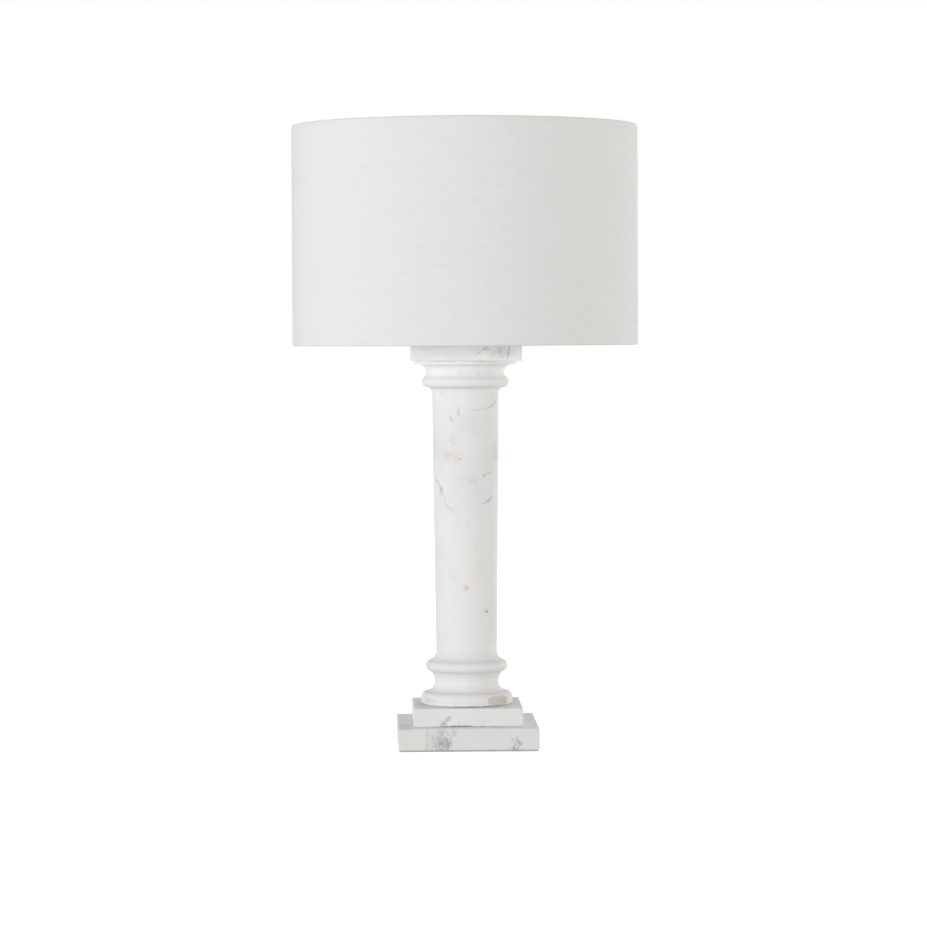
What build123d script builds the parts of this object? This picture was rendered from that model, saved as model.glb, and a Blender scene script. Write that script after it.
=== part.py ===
from build123d import *
import os
from math import sqrt

# A column table lamp: a turned stone column on two square plinths, a screw socket with its
# bulb, and a harp that carries a drum shade on a three-arm spider.
# Millimetres. The origin is the centre of the underside, +Z is up, -Y is the front.

# ---- plinths, from the floor up ----
FELT_T = 2.0
FELT_INSET = 1.5
LOWER_PLINTH_W = 197.0
LOWER_PLINTH_H = 30.5
UPPER_PLINTH_W = 153.8
UPPER_PLINTH_H = 25.8
ABACUS_W = 153.4
ABACUS_H = 25.0
SLAB_EASE = 1.0

# ---- turned base of the column ----
FOOT_DISC_R = 64.7
FOOT_DISC_H = 17.7
FOOT_DISC_ROUND = 7.7
BASE_WAIST_R = 45.1
BASE_WAIST_LOW_H = 13.8
BASE_WAIST_HIGH_H = 14.8
BASE_RING_R = 58.1
BASE_RING_H = 15.8
BASE_RING_EDGE_R = 51.3
BASE_COVE_H = 13.6

# ---- shaft, wider at its top ----
SHAFT_FOOT_R = 43.1
SHAFT_TOP_R = 47.2
SHAFT_H = 365.5

# ---- capital ----
CAPITAL_COVE_H = 7.6
CAPITAL_RING_R = 61.5
CAPITAL_RING_H = 13.4
CAPITAL_RING_LOW_R = 53.7
CAPITAL_RING_HIGH_R = 59.3
CAPITAL_WAIST_R = 55.2
CAPITAL_WAIST_LOW_H = 7.5
CAPITAL_WAIST_HIGH_H = 11.5
CAPITAL_NECK_R = 66.0
FILLET_DISC_R = 72.7
FILLET_DISC_H = 5.1
FILLET_DISC_EASE = 1.5

# ---- pipe that clamps the stone, and its cord way ----
PIPE_OD = 10.0
PIPE_BORE = 7.0
PIPE_TAIL = 2.0
PIPE_IN_SOCKET = 8.0
STONE_BORE = 13.0
THREAD_GAP = 0.05
RECESS_DIA = 56.0
RECESS_DEPTH = 15.0
BOTTOM_WASHER_DIA = 40.0
BOTTOM_WASHER_T = 2.0
NUT_FLATS = 14.0
BOTTOM_NUT_T = 5.0
LOCK_NUT_T = 4.5
CORD_WAY_DIA = 12.0
CORD_WAY_FLOOR = 2.5
BUSHING_BORE = 7.5
BUSHING_BARREL_L = 10.0
BUSHING_FLANGE_DIA = 16.0
BUSHING_FLANGE_T = 1.8
BUSHING_GAP = 0.1

# ---- check ring and neck under the socket ----
CHECK_RING_DIA = 44.0
CHECK_RING_T = 2.5
CHECK_RING_CHAMFER = 1.2
NECK_DIA = 22.0
NECK_H = 20.0
NECK_ROOF_T = 3.0
NECK_CAVITY_DIA = 18.0
NECK_EASE = 1.5

# ---- harp, its saddle and its lock sleeves ----
SADDLE_T = 1.6
SADDLE_W = 12.0
SADDLE_SHOULDER_H = 6.0
PRONG_W = 5.0
PRONG_H = 12.0
HARP_WIRE_DIA = 4.5
HARP_WIRE_GAP = 0.1
HARP_END_LIFT = 1.3
HARP_LEG_X = 27.0
HARP_LEG_H = 46.0
HARP_WIDE_X = 62.0
HARP_WIDE_LOW_H = 96.0
HARP_WIDE_HIGH_H = 181.0
HARP_CROWN_X = 26.0
HARP_CROWN_H = 247.7
HARP_LEG_BEND = 30.0
HARP_LOW_BEND = 60.0
HARP_HIGH_BEND = 45.0
HARP_CROWN_BEND = 26.0
SLEEVE_L = 20.0
SLEEVE_WALL = 0.8
SLEEVE_GAP = 0.3
SLEEVE_EASE = 0.3
STUD_PLATE_DIA = 14.0
STUD_PLATE_T = 3.0
STUD_DIA = 6.3
STUD_L = 16.0
RUNNING_GAP = 0.05

# ---- socket ----
CAP_DIA = 34.6
CAP_WALL = 0.9
CAP_NECK_DIA = 15.0
CAP_NECK_H = 4.0
CAP_DOME_H = 8.5
CAP_RIM_H = 8.0
CAP_FLOOR_T = 1.5
SET_SCREW_DIA = 2.4
SET_SCREW_HEAD_OUT = 1.5
SHELL_H = 42.0
SHELL_LAP = 7.0
SHELL_WALL = 0.5
LINER_WALL = 0.8
LINER_PROUD = 1.5
SEAT_GAP = 0.05
INSULATOR_DIA = 28.8
INSULATOR_H = 21.2
INSULATOR_SKIRT_WALL = 2.0
TERMINAL_FLAT_DEPTH = 1.9
TERMINAL_FLAT_H = 11.0
TERMINAL_SCREW_DIA = 6.0
TERMINAL_SCREW_T = 1.7
TERMINAL_SCREW_H = 5.5
SCREW_SHELL_H = 21.0
SCREW_SHELL_WALL = 0.5
SCREW_SHELL_HOLE_DIA = 12.0
CONTACT_DIA = 8.0
CONTACT_T = 1.5

# ---- switch ----
SWITCH_UP = 10.0
STEM_DIA = 3.8
STEM_INSET = 8.0
STEM_OUT = 12.5
STEM_HOLE_GAP = 0.6
KNOB_DIA = 11.0
KNOB_HUB_L = 4.0
KNOB_BLADE_L = 9.0
KNOB_BLADE_T = 3.0
KNOB_STANDOFF = 4.0
KNOB_EASE = 0.6
KNOB_BORE_L = 9.0

# ---- bulb ----
BULB_TIP_DIA = 7.0
BULB_TIP_T = 1.2
BULB_CONE_TOP_DIA = 21.0
BULB_CONE_H = 3.6
BULB_THREAD_DIA = 26.0
BULB_THREAD_ROOT_DIA = 24.4
BULB_THREAD_PITCH = 3.629
BULB_THREAD_TURNS = 5
BULB_BASE_RIM_H = 4.9
BULB_BASE_WALL = 0.6
BULB_THREAD_GAP = 0.1
BULB_COLLAR_H = 30.0
BULB_COLLAR_WALL = 1.5
BULB_GLOBE_DIA = 60.3
BULB_GLOBE_RISE = 21.0
BULB_GLOBE_WALL = 1.2

# ---- finial ----
FINIAL_BASE_DIA = 13.6
FINIAL_BASE_H = 2.4
FINIAL_NECK_DIA = 10.8
FINIAL_NECK_H = 2.6
FINIAL_BALL_DIA = 16.0
FINIAL_BALL_H = 15.0
FINIAL_SEAT_GAP = 0.05
INSERT_L = 9.0
INSERT_WALL = 1.0
FINIAL_BORE_L = 13.0

# ---- drum shade ----
SHADE_DIA = 488.95
SHADE_H = 310.0
FABRIC_T = 0.6
LINER_T = 0.5
RING_WIRE_DIA = 2.4
WRAP_GAP = 0.6
LINER_GAP = 0.2
HEM_SWEEP = 250.0
SPIDER_HUB_DIA = 26.0
SPIDER_HUB_T = 4.5
SPIDER_RISE = 25.0
SPIDER_ARMS = 3
SPIDER_FIRST_ANGLE = 90.0
SPIDER_WIRE_DIA = 2.4
SPIDER_SEAT_L = 4.0
SPIDER_FLAT_R = 40.0
SPIDER_SLOPE_R = 75.0
SPIDER_BEND = 12.0
SPIDER_NOTCH_GAP = 0.8
SEAM_TAPE_W = 15.0
SEAM_TAPE_T = 0.3
SEAM_TAPE_GAP = 0.5

# ---- heights and radii that follow from the sizes above ----
LOWER_PLINTH_Z = FELT_T
UPPER_PLINTH_Z = LOWER_PLINTH_Z + LOWER_PLINTH_H
BASE_Z = UPPER_PLINTH_Z + UPPER_PLINTH_H
BASE_H = FOOT_DISC_H + BASE_WAIST_LOW_H + BASE_WAIST_HIGH_H + BASE_RING_H + BASE_COVE_H
SHAFT_Z = BASE_Z + BASE_H
CAPITAL_Z = SHAFT_Z + SHAFT_H
CAPITAL_H = (CAPITAL_COVE_H + CAPITAL_RING_H + CAPITAL_WAIST_LOW_H + CAPITAL_WAIST_HIGH_H
             + FILLET_DISC_H)
ABACUS_Z = CAPITAL_Z + CAPITAL_H
CHECK_RING_Z = ABACUS_Z + ABACUS_H
NECK_Z = CHECK_RING_Z + CHECK_RING_T
SADDLE_Z = NECK_Z + NECK_H
SOCKET_Z = SADDLE_Z + SADDLE_T

RECESS_TOP_Z = LOWER_PLINTH_Z + RECESS_DEPTH
WASHER_Z = RECESS_TOP_Z - BOTTOM_WASHER_T
BOTTOM_NUT_Z = WASHER_Z - BOTTOM_NUT_T
PIPE_Z = BOTTOM_NUT_Z - PIPE_TAIL
PIPE_TOP_Z = SOCKET_Z + PIPE_IN_SOCKET
THREAD_R = PIPE_OD / 2 + THREAD_GAP
CORD_WAY_Z = LOWER_PLINTH_Z + CORD_WAY_FLOOR + CORD_WAY_DIA / 2

WIRE_R = HARP_WIRE_DIA / 2
PRONG_OUTER_X = HARP_LEG_X - WIRE_R - HARP_WIRE_GAP
PRONG_INNER_X = PRONG_OUTER_X - SADDLE_T
SHOULDER_Z = SOCKET_Z + SADDLE_SHOULDER_H
SLEEVE_X = (PRONG_INNER_X + HARP_LEG_X + WIRE_R) / 2
SLEEVE_BORE_R = sqrt((SLEEVE_X - PRONG_INNER_X) ** 2 + (PRONG_W / 2) ** 2) + SLEEVE_GAP
HARP_CROWN_Z = SOCKET_Z + HARP_CROWN_H
SPIDER_HUB_Z = HARP_CROWN_Z + WIRE_R + STUD_PLATE_T
FINIAL_Z = SPIDER_HUB_Z + SPIDER_HUB_T + FINIAL_SEAT_GAP
STUD_R = STUD_DIA / 2
STUD_BORE_R = STUD_R + RUNNING_GAP
INSERT_R = STUD_BORE_R + INSERT_WALL

CAP_R = CAP_DIA / 2
CAP_INNER_R = CAP_R - CAP_WALL
CAP_H = CAP_NECK_H + CAP_DOME_H + CAP_RIM_H
CAP_FLOOR_Z = SOCKET_Z + CAP_NECK_H + CAP_FLOOR_T
SHELL_Z = SOCKET_Z + CAP_H - SHELL_LAP
SHELL_R = CAP_INNER_R - SEAT_GAP
LINER_R = SHELL_R - SHELL_WALL - SEAT_GAP
INSULATOR_Z = SOCKET_Z + CAP_NECK_H + CAP_DOME_H
SCREW_SHELL_Z = INSULATOR_Z + INSULATOR_H
SWITCH_Z = INSULATOR_Z + SWITCH_UP
STEM_R = STEM_DIA / 2
STEM_END_R = SHELL_R + STEM_OUT
KNOB_R = SHELL_R + KNOB_STANDOFF

BULB_TIP_Z = SCREW_SHELL_Z + CONTACT_T
BULB_CONE_Z = BULB_TIP_Z + BULB_TIP_T
BULB_BASE_Z = BULB_CONE_Z + BULB_CONE_H
BULB_BASE_H = BULB_THREAD_TURNS * BULB_THREAD_PITCH + BULB_BASE_RIM_H
BULB_THREAD_R = BULB_THREAD_DIA / 2
BULB_ROOT_R = BULB_THREAD_ROOT_DIA / 2
COLLAR_Z = BULB_BASE_Z + BULB_BASE_H
GLOBE_Z = COLLAR_Z + BULB_COLLAR_H
GLOBE_R = BULB_GLOBE_DIA / 2
GLOBE_MOUTH_R = sqrt(GLOBE_R ** 2 - BULB_GLOBE_RISE ** 2)

SHADE_R = SHADE_DIA / 2
RING_R = RING_WIRE_DIA / 2
WRAP_INNER_R = RING_R + WRAP_GAP
WRAP_OUTER_R = WRAP_INNER_R + FABRIC_T
RING_PITCH_R = SHADE_R - WRAP_OUTER_R
SPIDER_MID_Z = SPIDER_HUB_Z + SPIDER_HUB_T / 2
TOP_RING_Z = SPIDER_MID_Z + SPIDER_RISE
BOTTOM_RING_Z = TOP_RING_Z + 2 * WRAP_OUTER_R - SHADE_H
SHADE_LINER_R = SHADE_R - FABRIC_T - LINER_GAP
SPIDER_HUB_R = SPIDER_HUB_DIA / 2
SPIDER_WIRE_R = SPIDER_WIRE_DIA / 2
SPIDER_ANGLES = [SPIDER_FIRST_ANGLE + 360 * i / SPIDER_ARMS for i in range(SPIDER_ARMS)]

STANDING = (Align.CENTER, Align.CENTER, Align.MIN)
FRONTWARD = Rot(90, 0, 0)
BACKWARD = Rot(-90, 0, 0)
RIGHTWARD = Rot(0, 90, 0)


# ---- shapes that several pieces share ----
def disc(radius, bottom, height):
    return Pos(0, 0, bottom) * Cylinder(radius, height, align=STANDING)


def tube(outer, inner, bottom, height):
    return disc(outer, bottom, height) - disc(inner, bottom, height)


def turned(*outline):
    """The solid that a closed outline of (radius, height) lines and arcs turns about Z."""
    return revolve(Plane.XZ * make_face(Curve() + list(outline)), Axis.Z)


def lines(*points):
    """The straight edges of an outline, as a list."""
    return [Line(a, b) for a, b in zip(points, points[1:])]


def rod(radius, start, end, height, heading):
    """A round rod from radius start to radius end, along a heading from the axis."""
    bar = Cylinder(radius, end - start, align=STANDING)
    return Pos(0, 0, height) * heading * Pos(0, 0, start) * bar


def hex_nut(bottom, height):
    blank = extrude(RegularPolygon(NUT_FLATS / 2, 6, major_radius=False), height)
    return Pos(0, 0, bottom) * blank - disc(THREAD_R, bottom, height)


def slab(width, bottom, height):
    """A square stone slab with eased edges, bored for the pipe."""
    block = Pos(0, 0, bottom) * Box(width, width, height, align=STANDING)
    return fillet(block.edges(), SLAB_EASE) - disc(STONE_BORE / 2, bottom, height)


def bored(stone, bottom, height):
    return stone - disc(STONE_BORE / 2, bottom, height)


# ---- stone ----
def felt_pad():
    width = LOWER_PLINTH_W - 2 * FELT_INSET
    return Box(width, width, FELT_T, align=STANDING)


def lower_plinth():
    stone = slab(LOWER_PLINTH_W, LOWER_PLINTH_Z, LOWER_PLINTH_H)
    stone -= disc(RECESS_DIA / 2, LOWER_PLINTH_Z, RECESS_DEPTH)
    return stone - rod(CORD_WAY_DIA / 2, 0, LOWER_PLINTH_W / 2, CORD_WAY_Z, BACKWARD)


def upper_plinth():
    return slab(UPPER_PLINTH_W, UPPER_PLINTH_Z, UPPER_PLINTH_H)


def column_base():
    disc_top = BASE_Z + FOOT_DISC_H
    waist = disc_top + BASE_WAIST_LOW_H
    ring_low = waist + BASE_WAIST_HIGH_H
    ring_high = ring_low + BASE_RING_H
    top = BASE_Z + BASE_H
    inner_r = FOOT_DISC_R - FOOT_DISC_ROUND
    outline = lines((0, top), (0, BASE_Z), (FOOT_DISC_R, BASE_Z),
                    (FOOT_DISC_R, disc_top - FOOT_DISC_ROUND))
    outline += [
        CenterArc((inner_r, disc_top - FOOT_DISC_ROUND), FOOT_DISC_ROUND, 0, 90),
        TangentArc((BASE_WAIST_R, waist), (inner_r, disc_top), tangent=(0, -1)),
        TangentArc((BASE_WAIST_R, waist), (BASE_RING_EDGE_R, ring_low), tangent=(0, 1)),
        ThreePointArc((BASE_RING_EDGE_R, ring_low), (BASE_RING_R, (ring_low + ring_high) / 2),
                      (BASE_RING_EDGE_R, ring_high)),
        TangentArc((SHAFT_FOOT_R, top), (BASE_RING_EDGE_R, ring_high), tangent=(0, -1)),
        Line((SHAFT_FOOT_R, top), (0, top)),
    ]
    return bored(turned(*outline), BASE_Z, BASE_H)


def column_shaft():
    shaft = Pos(0, 0, SHAFT_Z) * Cone(SHAFT_FOOT_R, SHAFT_TOP_R, SHAFT_H, align=STANDING)
    return bored(shaft, SHAFT_Z, SHAFT_H)


def capital():
    ring_low = CAPITAL_Z + CAPITAL_COVE_H
    ring_high = ring_low + CAPITAL_RING_H
    waist = ring_high + CAPITAL_WAIST_LOW_H
    disc_low = waist + CAPITAL_WAIST_HIGH_H
    outline = [
        Line((0, CAPITAL_Z), (SHAFT_TOP_R, CAPITAL_Z)),
        TangentArc((SHAFT_TOP_R, CAPITAL_Z), (CAPITAL_RING_LOW_R, ring_low), tangent=(0, 1)),
        ThreePointArc((CAPITAL_RING_LOW_R, ring_low), (CAPITAL_RING_R, (ring_low + ring_high) / 2),
                      (CAPITAL_RING_HIGH_R, ring_high)),
        TangentArc((CAPITAL_WAIST_R, waist), (CAPITAL_RING_HIGH_R, ring_high), tangent=(0, -1)),
        TangentArc((CAPITAL_WAIST_R, waist), (CAPITAL_NECK_R, disc_low), tangent=(0, 1)),
    ]
    outline += lines((CAPITAL_NECK_R, disc_low), (FILLET_DISC_R, disc_low), (FILLET_DISC_R, ABACUS_Z),
                     (0, ABACUS_Z), (0, CAPITAL_Z))
    stone = turned(*outline)
    rim = stone.edges().filter_by(GeomType.CIRCLE).group_by(lambda edge: edge.radius)[-1]
    return bored(fillet(rim, FILLET_DISC_EASE), CAPITAL_Z, CAPITAL_H)


def abacus():
    return slab(ABACUS_W, ABACUS_Z, ABACUS_H)


# ---- pipe, nuts and cord inlet ----
def threaded_pipe():
    return tube(PIPE_OD / 2, PIPE_BORE / 2, PIPE_Z, PIPE_TOP_Z - PIPE_Z)


def bottom_washer():
    return tube(BOTTOM_WASHER_DIA / 2, THREAD_R, WASHER_Z, BOTTOM_WASHER_T)


def bottom_nut():
    return hex_nut(BOTTOM_NUT_Z, BOTTOM_NUT_T)


def cord_bushing():
    face = LOWER_PLINTH_W / 2
    barrel = rod(CORD_WAY_DIA / 2 - BUSHING_GAP, face - BUSHING_BARREL_L, face, CORD_WAY_Z, BACKWARD)
    flange = rod(BUSHING_FLANGE_DIA / 2, face, face + BUSHING_FLANGE_T, CORD_WAY_Z, BACKWARD)
    bore = rod(BUSHING_BORE / 2, face - BUSHING_BARREL_L, face + BUSHING_FLANGE_T, CORD_WAY_Z, BACKWARD)
    return barrel + flange - bore


def check_ring():
    ring = disc(CHECK_RING_DIA / 2, CHECK_RING_Z, CHECK_RING_T)
    ring = chamfer(ring.edges().group_by(Axis.Z)[-1], CHECK_RING_CHAMFER)
    return ring - disc(THREAD_R, CHECK_RING_Z, CHECK_RING_T)


def lock_nut():
    return hex_nut(NECK_Z, LOCK_NUT_T)


def neck_tube():
    post = disc(NECK_DIA / 2, NECK_Z, NECK_H)
    post = fillet(post.edges().group_by(Axis.Z)[-1], NECK_EASE)
    post -= disc(NECK_CAVITY_DIA / 2, NECK_Z, NECK_H - NECK_ROOF_T)
    return post - disc(THREAD_R, NECK_Z, NECK_H)


# ---- harp ----
def harp_saddle():
    strap = Pos(0, 0, SADDLE_Z) * Box(2 * PRONG_OUTER_X, SADDLE_W, SADDLE_T, align=STANDING)
    strap -= disc(THREAD_R, SADDLE_Z, SADDLE_T)
    prong_x = (PRONG_OUTER_X + PRONG_INNER_X) / 2
    for side in (-1, 1):
        shoulder = Box(SADDLE_T, SADDLE_W, SADDLE_SHOULDER_H, align=STANDING)
        prong = Box(SADDLE_T, PRONG_W, PRONG_H, align=STANDING)
        strap += Pos(side * prong_x, 0, SOCKET_Z) * shoulder
        strap += Pos(side * prong_x, 0, SHOULDER_Z) * prong
    return strap


def harp_frame():
    start = (HARP_LEG_X, SOCKET_Z + HARP_END_LIFT)
    half = [start, (HARP_LEG_X, SOCKET_Z + HARP_LEG_H), (HARP_WIDE_X, SOCKET_Z + HARP_WIDE_LOW_H),
            (HARP_WIDE_X, SOCKET_Z + HARP_WIDE_HIGH_H), (HARP_CROWN_X, HARP_CROWN_Z)]
    bends = [HARP_LEG_BEND, HARP_LOW_BEND, HARP_HIGH_BEND, HARP_CROWN_BEND]
    other = [(-x, z) for x, z in reversed(half)]
    path = Plane.XZ * FilletPolyline(*half, *other, radius=bends + bends[::-1])
    section = Pos(start[0], 0, start[1]) * Circle(WIRE_R)
    return sweep(section, path=path)


def harp_sleeve(side):
    sleeve = Cylinder(SLEEVE_BORE_R + SLEEVE_WALL, SLEEVE_L, align=STANDING)
    sleeve = fillet(sleeve.edges().filter_by(GeomType.CIRCLE), SLEEVE_EASE)
    sleeve -= Cylinder(SLEEVE_BORE_R, SLEEVE_L, align=STANDING)
    return Pos(side * SLEEVE_X, 0, SHOULDER_Z) * sleeve


def harp_sleeve_left():
    return harp_sleeve(-1)


def harp_sleeve_right():
    return harp_sleeve(1)


def harp_stud():
    plate = disc(STUD_PLATE_DIA / 2, HARP_CROWN_Z, WIRE_R + STUD_PLATE_T)
    seat = rod(WIRE_R + THREAD_GAP, -STUD_PLATE_DIA, STUD_PLATE_DIA, HARP_CROWN_Z, RIGHTWARD)
    return plate - seat + disc(STUD_R, SPIDER_HUB_Z, STUD_L)


# ---- socket ----
def socket_cap():
    rim = SOCKET_Z + CAP_H
    dome = SOCKET_Z + CAP_NECK_H + CAP_DOME_H
    neck = SOCKET_Z + CAP_NECK_H
    neck_r = CAP_NECK_DIA / 2
    outline = lines((THREAD_R, SOCKET_Z), (neck_r, SOCKET_Z), (neck_r, neck))
    outline += [TangentArc((CAP_R, dome), (neck_r, neck), tangent=(0, -1))]
    outline += lines((CAP_R, dome), (CAP_R, rim), (CAP_INNER_R, rim), (CAP_INNER_R, dome))
    outline += [TangentArc((CAP_INNER_R, dome), (neck_r, CAP_FLOOR_Z), tangent=(0, -1))]
    outline += lines((neck_r, CAP_FLOOR_Z), (THREAD_R, CAP_FLOOR_Z), (THREAD_R, SOCKET_Z))
    screw_way = rod(SET_SCREW_DIA / 2 + THREAD_GAP, 0, CAP_R, SOCKET_Z + CAP_NECK_H / 2, BACKWARD)
    return turned(*outline) - screw_way


def cap_screw():
    head_r = CAP_NECK_DIA / 2 + SET_SCREW_HEAD_OUT
    return rod(SET_SCREW_DIA / 2, THREAD_R, head_r, SOCKET_Z + CAP_NECK_H / 2, BACKWARD)


def stem_hole():
    return rod(STEM_R + STEM_HOLE_GAP, 0, CAP_R, SWITCH_Z, FRONTWARD)


def socket_shell():
    return tube(SHELL_R, SHELL_R - SHELL_WALL, SHELL_Z, SHELL_H) - stem_hole()


def socket_liner():
    return tube(LINER_R, LINER_R - LINER_WALL, SHELL_Z, SHELL_H + LINER_PROUD) - stem_hole()


def socket_insulator():
    inner_r = THREAD_R + STEM_HOLE_GAP
    block = disc(INSULATOR_DIA / 2, INSULATOR_Z, INSULATOR_H)
    block += disc(inner_r + INSULATOR_SKIRT_WALL, CAP_FLOOR_Z, INSULATOR_Z - CAP_FLOOR_Z)
    block -= disc(inner_r, CAP_FLOOR_Z, INSULATOR_Z - CAP_FLOOR_Z)
    flat_x = INSULATOR_DIA / 2 - TERMINAL_FLAT_DEPTH
    for side in (-1, 1):
        block -= (Pos(side * (flat_x + INSULATOR_DIA / 2), 0, INSULATOR_Z)
                  * Box(INSULATOR_DIA, INSULATOR_DIA, TERMINAL_FLAT_H, align=STANDING))
    return block - rod(STEM_R + RUNNING_GAP, STEM_INSET, CAP_R, SWITCH_Z, FRONTWARD)


def terminal_screws():
    flat_x = INSULATOR_DIA / 2 - TERMINAL_FLAT_DEPTH
    height = INSULATOR_Z + TERMINAL_SCREW_H
    head = rod(TERMINAL_SCREW_DIA / 2, flat_x, flat_x + TERMINAL_SCREW_T, height, RIGHTWARD)
    return [head, Rot(0, 0, 180) * head]


def screw_shell():
    inner_r = BULB_THREAD_R + BULB_THREAD_GAP
    cup = disc(inner_r + SCREW_SHELL_WALL, SCREW_SHELL_Z, SCREW_SHELL_H)
    cup -= disc(inner_r, SCREW_SHELL_Z + SCREW_SHELL_WALL, SCREW_SHELL_H - SCREW_SHELL_WALL)
    return cup - disc(SCREW_SHELL_HOLE_DIA / 2, SCREW_SHELL_Z, SCREW_SHELL_WALL)


def centre_contact():
    return disc(CONTACT_DIA / 2, SCREW_SHELL_Z, CONTACT_T)


# ---- switch ----
def switch_stem():
    return rod(STEM_R, STEM_INSET + RUNNING_GAP, STEM_END_R, SWITCH_Z, FRONTWARD)


def switch_knob():
    hub = Cylinder(KNOB_DIA / 2, KNOB_HUB_L, align=STANDING)
    blade = Box(KNOB_BLADE_T, KNOB_DIA - KNOB_EASE, KNOB_BLADE_L, align=STANDING)
    knob = hub + Pos(0, 0, KNOB_HUB_L) * fillet(blade.edges().filter_by(Axis.Z), KNOB_EASE)
    knob = fillet(knob.edges().group_by(Axis.Z)[-1], KNOB_EASE)
    knob -= Cylinder(STEM_R + SEAT_GAP, KNOB_BORE_L, align=STANDING)
    return Pos(0, -KNOB_R, SWITCH_Z) * FRONTWARD * knob


# ---- bulb ----
def bulb_contact():
    return disc(BULB_TIP_DIA / 2, BULB_TIP_Z, BULB_TIP_T)


def bulb_insulator():
    cone = Cone(BULB_TIP_DIA / 2, BULB_CONE_TOP_DIA / 2, BULB_CONE_H, align=STANDING)
    return Pos(0, 0, BULB_CONE_Z) * cone


def bulb_screw_base():
    inner_r = BULB_ROOT_R - BULB_BASE_WALL
    floor = BULB_BASE_Z + BULB_BASE_WALL
    outline = lines((inner_r, COLLAR_Z), (inner_r, floor), (0, floor), (0, BULB_BASE_Z),
                    (BULB_ROOT_R, BULB_BASE_Z))
    for turn in range(BULB_THREAD_TURNS):
        low = BULB_BASE_Z + turn * BULB_THREAD_PITCH
        outline += [ThreePointArc((BULB_ROOT_R, low), (BULB_THREAD_R, low + BULB_THREAD_PITCH / 2),
                                  (BULB_ROOT_R, low + BULB_THREAD_PITCH))]
    rim_low = BULB_BASE_Z + BULB_THREAD_TURNS * BULB_THREAD_PITCH
    outline += lines((BULB_ROOT_R, rim_low), (BULB_ROOT_R, COLLAR_Z), (inner_r, COLLAR_Z))
    return turned(*outline)


def bulb_collar():
    mouth_in = GLOBE_MOUTH_R - BULB_COLLAR_WALL
    foot_in = BULB_ROOT_R - BULB_COLLAR_WALL
    outline = lines((foot_in, COLLAR_Z), (BULB_ROOT_R, COLLAR_Z))
    outline += [TangentArc((BULB_ROOT_R, COLLAR_Z), (GLOBE_MOUTH_R, GLOBE_Z), tangent=(0, 1))]
    outline += lines((GLOBE_MOUTH_R, GLOBE_Z), (mouth_in, GLOBE_Z))
    outline += [TangentArc((foot_in, COLLAR_Z), (mouth_in, GLOBE_Z), tangent=(0, 1))]
    return turned(*outline)


def bulb_globe():
    ball = Sphere(GLOBE_R) - Sphere(GLOBE_R - BULB_GLOBE_WALL)
    below = Pos(0, 0, -BULB_GLOBE_RISE - GLOBE_R) * Cylinder(GLOBE_R, GLOBE_R, align=STANDING)
    return Pos(0, 0, GLOBE_Z + BULB_GLOBE_RISE) * (ball - below)


# ---- finial ----
def finial_insert():
    return tube(INSERT_R, STUD_BORE_R, FINIAL_Z, INSERT_L)


def finial_knob():
    base_r = FINIAL_BASE_DIA / 2
    neck_r = FINIAL_NECK_DIA / 2
    ball_r = FINIAL_BALL_DIA / 2
    neck = FINIAL_Z + FINIAL_BASE_H
    ball = neck + FINIAL_NECK_H
    outline = lines((0, FINIAL_Z), (base_r, FINIAL_Z), (base_r, neck), (neck_r, neck), (neck_r, ball))
    outline += [
        ThreePointArc((neck_r, ball), (ball_r, ball + FINIAL_BALL_H / 2), (neck_r, ball + FINIAL_BALL_H)),
        Line((neck_r, ball + FINIAL_BALL_H), (0, ball + FINIAL_BALL_H)),
        Line((0, ball + FINIAL_BALL_H), (0, FINIAL_Z)),
    ]
    knob = turned(*outline)
    knob -= disc(INSERT_R + SEAT_GAP, FINIAL_Z, INSERT_L + SEAT_GAP)
    return knob - disc(STUD_BORE_R, FINIAL_Z, FINIAL_BORE_L)


# ---- drum shade ----
def spider_notches():
    """Rods that cut the rolled hem open where each spider arm meets the top ring."""
    inner = RING_PITCH_R - 2 * WRAP_OUTER_R
    notch = rod(SPIDER_WIRE_R + SPIDER_NOTCH_GAP, inner, RING_PITCH_R, TOP_RING_Z, RIGHTWARD)
    return [Rot(0, 0, angle) * notch for angle in SPIDER_ANGLES]


def shade_fabric():
    """The fabric wall, which rolls inward round the ring wire at its top and bottom."""
    inner_r = SHADE_R - FABRIC_T
    outline = [Line((SHADE_R, BOTTOM_RING_Z), (SHADE_R, TOP_RING_Z)),
               Line((inner_r, BOTTOM_RING_Z), (inner_r, TOP_RING_Z))]
    for height, sweep_angle in ((TOP_RING_Z, HEM_SWEEP), (BOTTOM_RING_Z, -HEM_SWEEP)):
        outer_arc = CenterArc((RING_PITCH_R, height), WRAP_OUTER_R, 0, sweep_angle)
        inner_arc = CenterArc((RING_PITCH_R, height), WRAP_INNER_R, 0, sweep_angle)
        outline += [outer_arc, inner_arc, Line(outer_arc @ 1, inner_arc @ 1)]
    fabric = turned(*outline)
    for notch in spider_notches():
        fabric -= notch
    return fabric


def shade_liner():
    low = BOTTOM_RING_Z + WRAP_OUTER_R + WRAP_GAP
    high = TOP_RING_Z - WRAP_OUTER_R - WRAP_GAP
    return tube(SHADE_LINER_R, SHADE_LINER_R - LINER_T, low, high - low)


def shade_seam_tape():
    """A strip of an arc behind the liner's back joint."""
    outer = SHADE_LINER_R - LINER_T - SEAM_TAPE_GAP
    low = BOTTOM_RING_Z + 2 * WRAP_OUTER_R
    high = TOP_RING_Z - 2 * WRAP_OUTER_R
    ring = tube(outer, outer - SEAM_TAPE_T, low, high - low)
    keep = Pos(0, SHADE_R, low) * Box(SEAM_TAPE_W, SHADE_R, high - low, align=STANDING)
    return ring & keep


def shade_top_ring():
    return Pos(0, 0, TOP_RING_Z) * Torus(RING_PITCH_R, RING_R)


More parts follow.
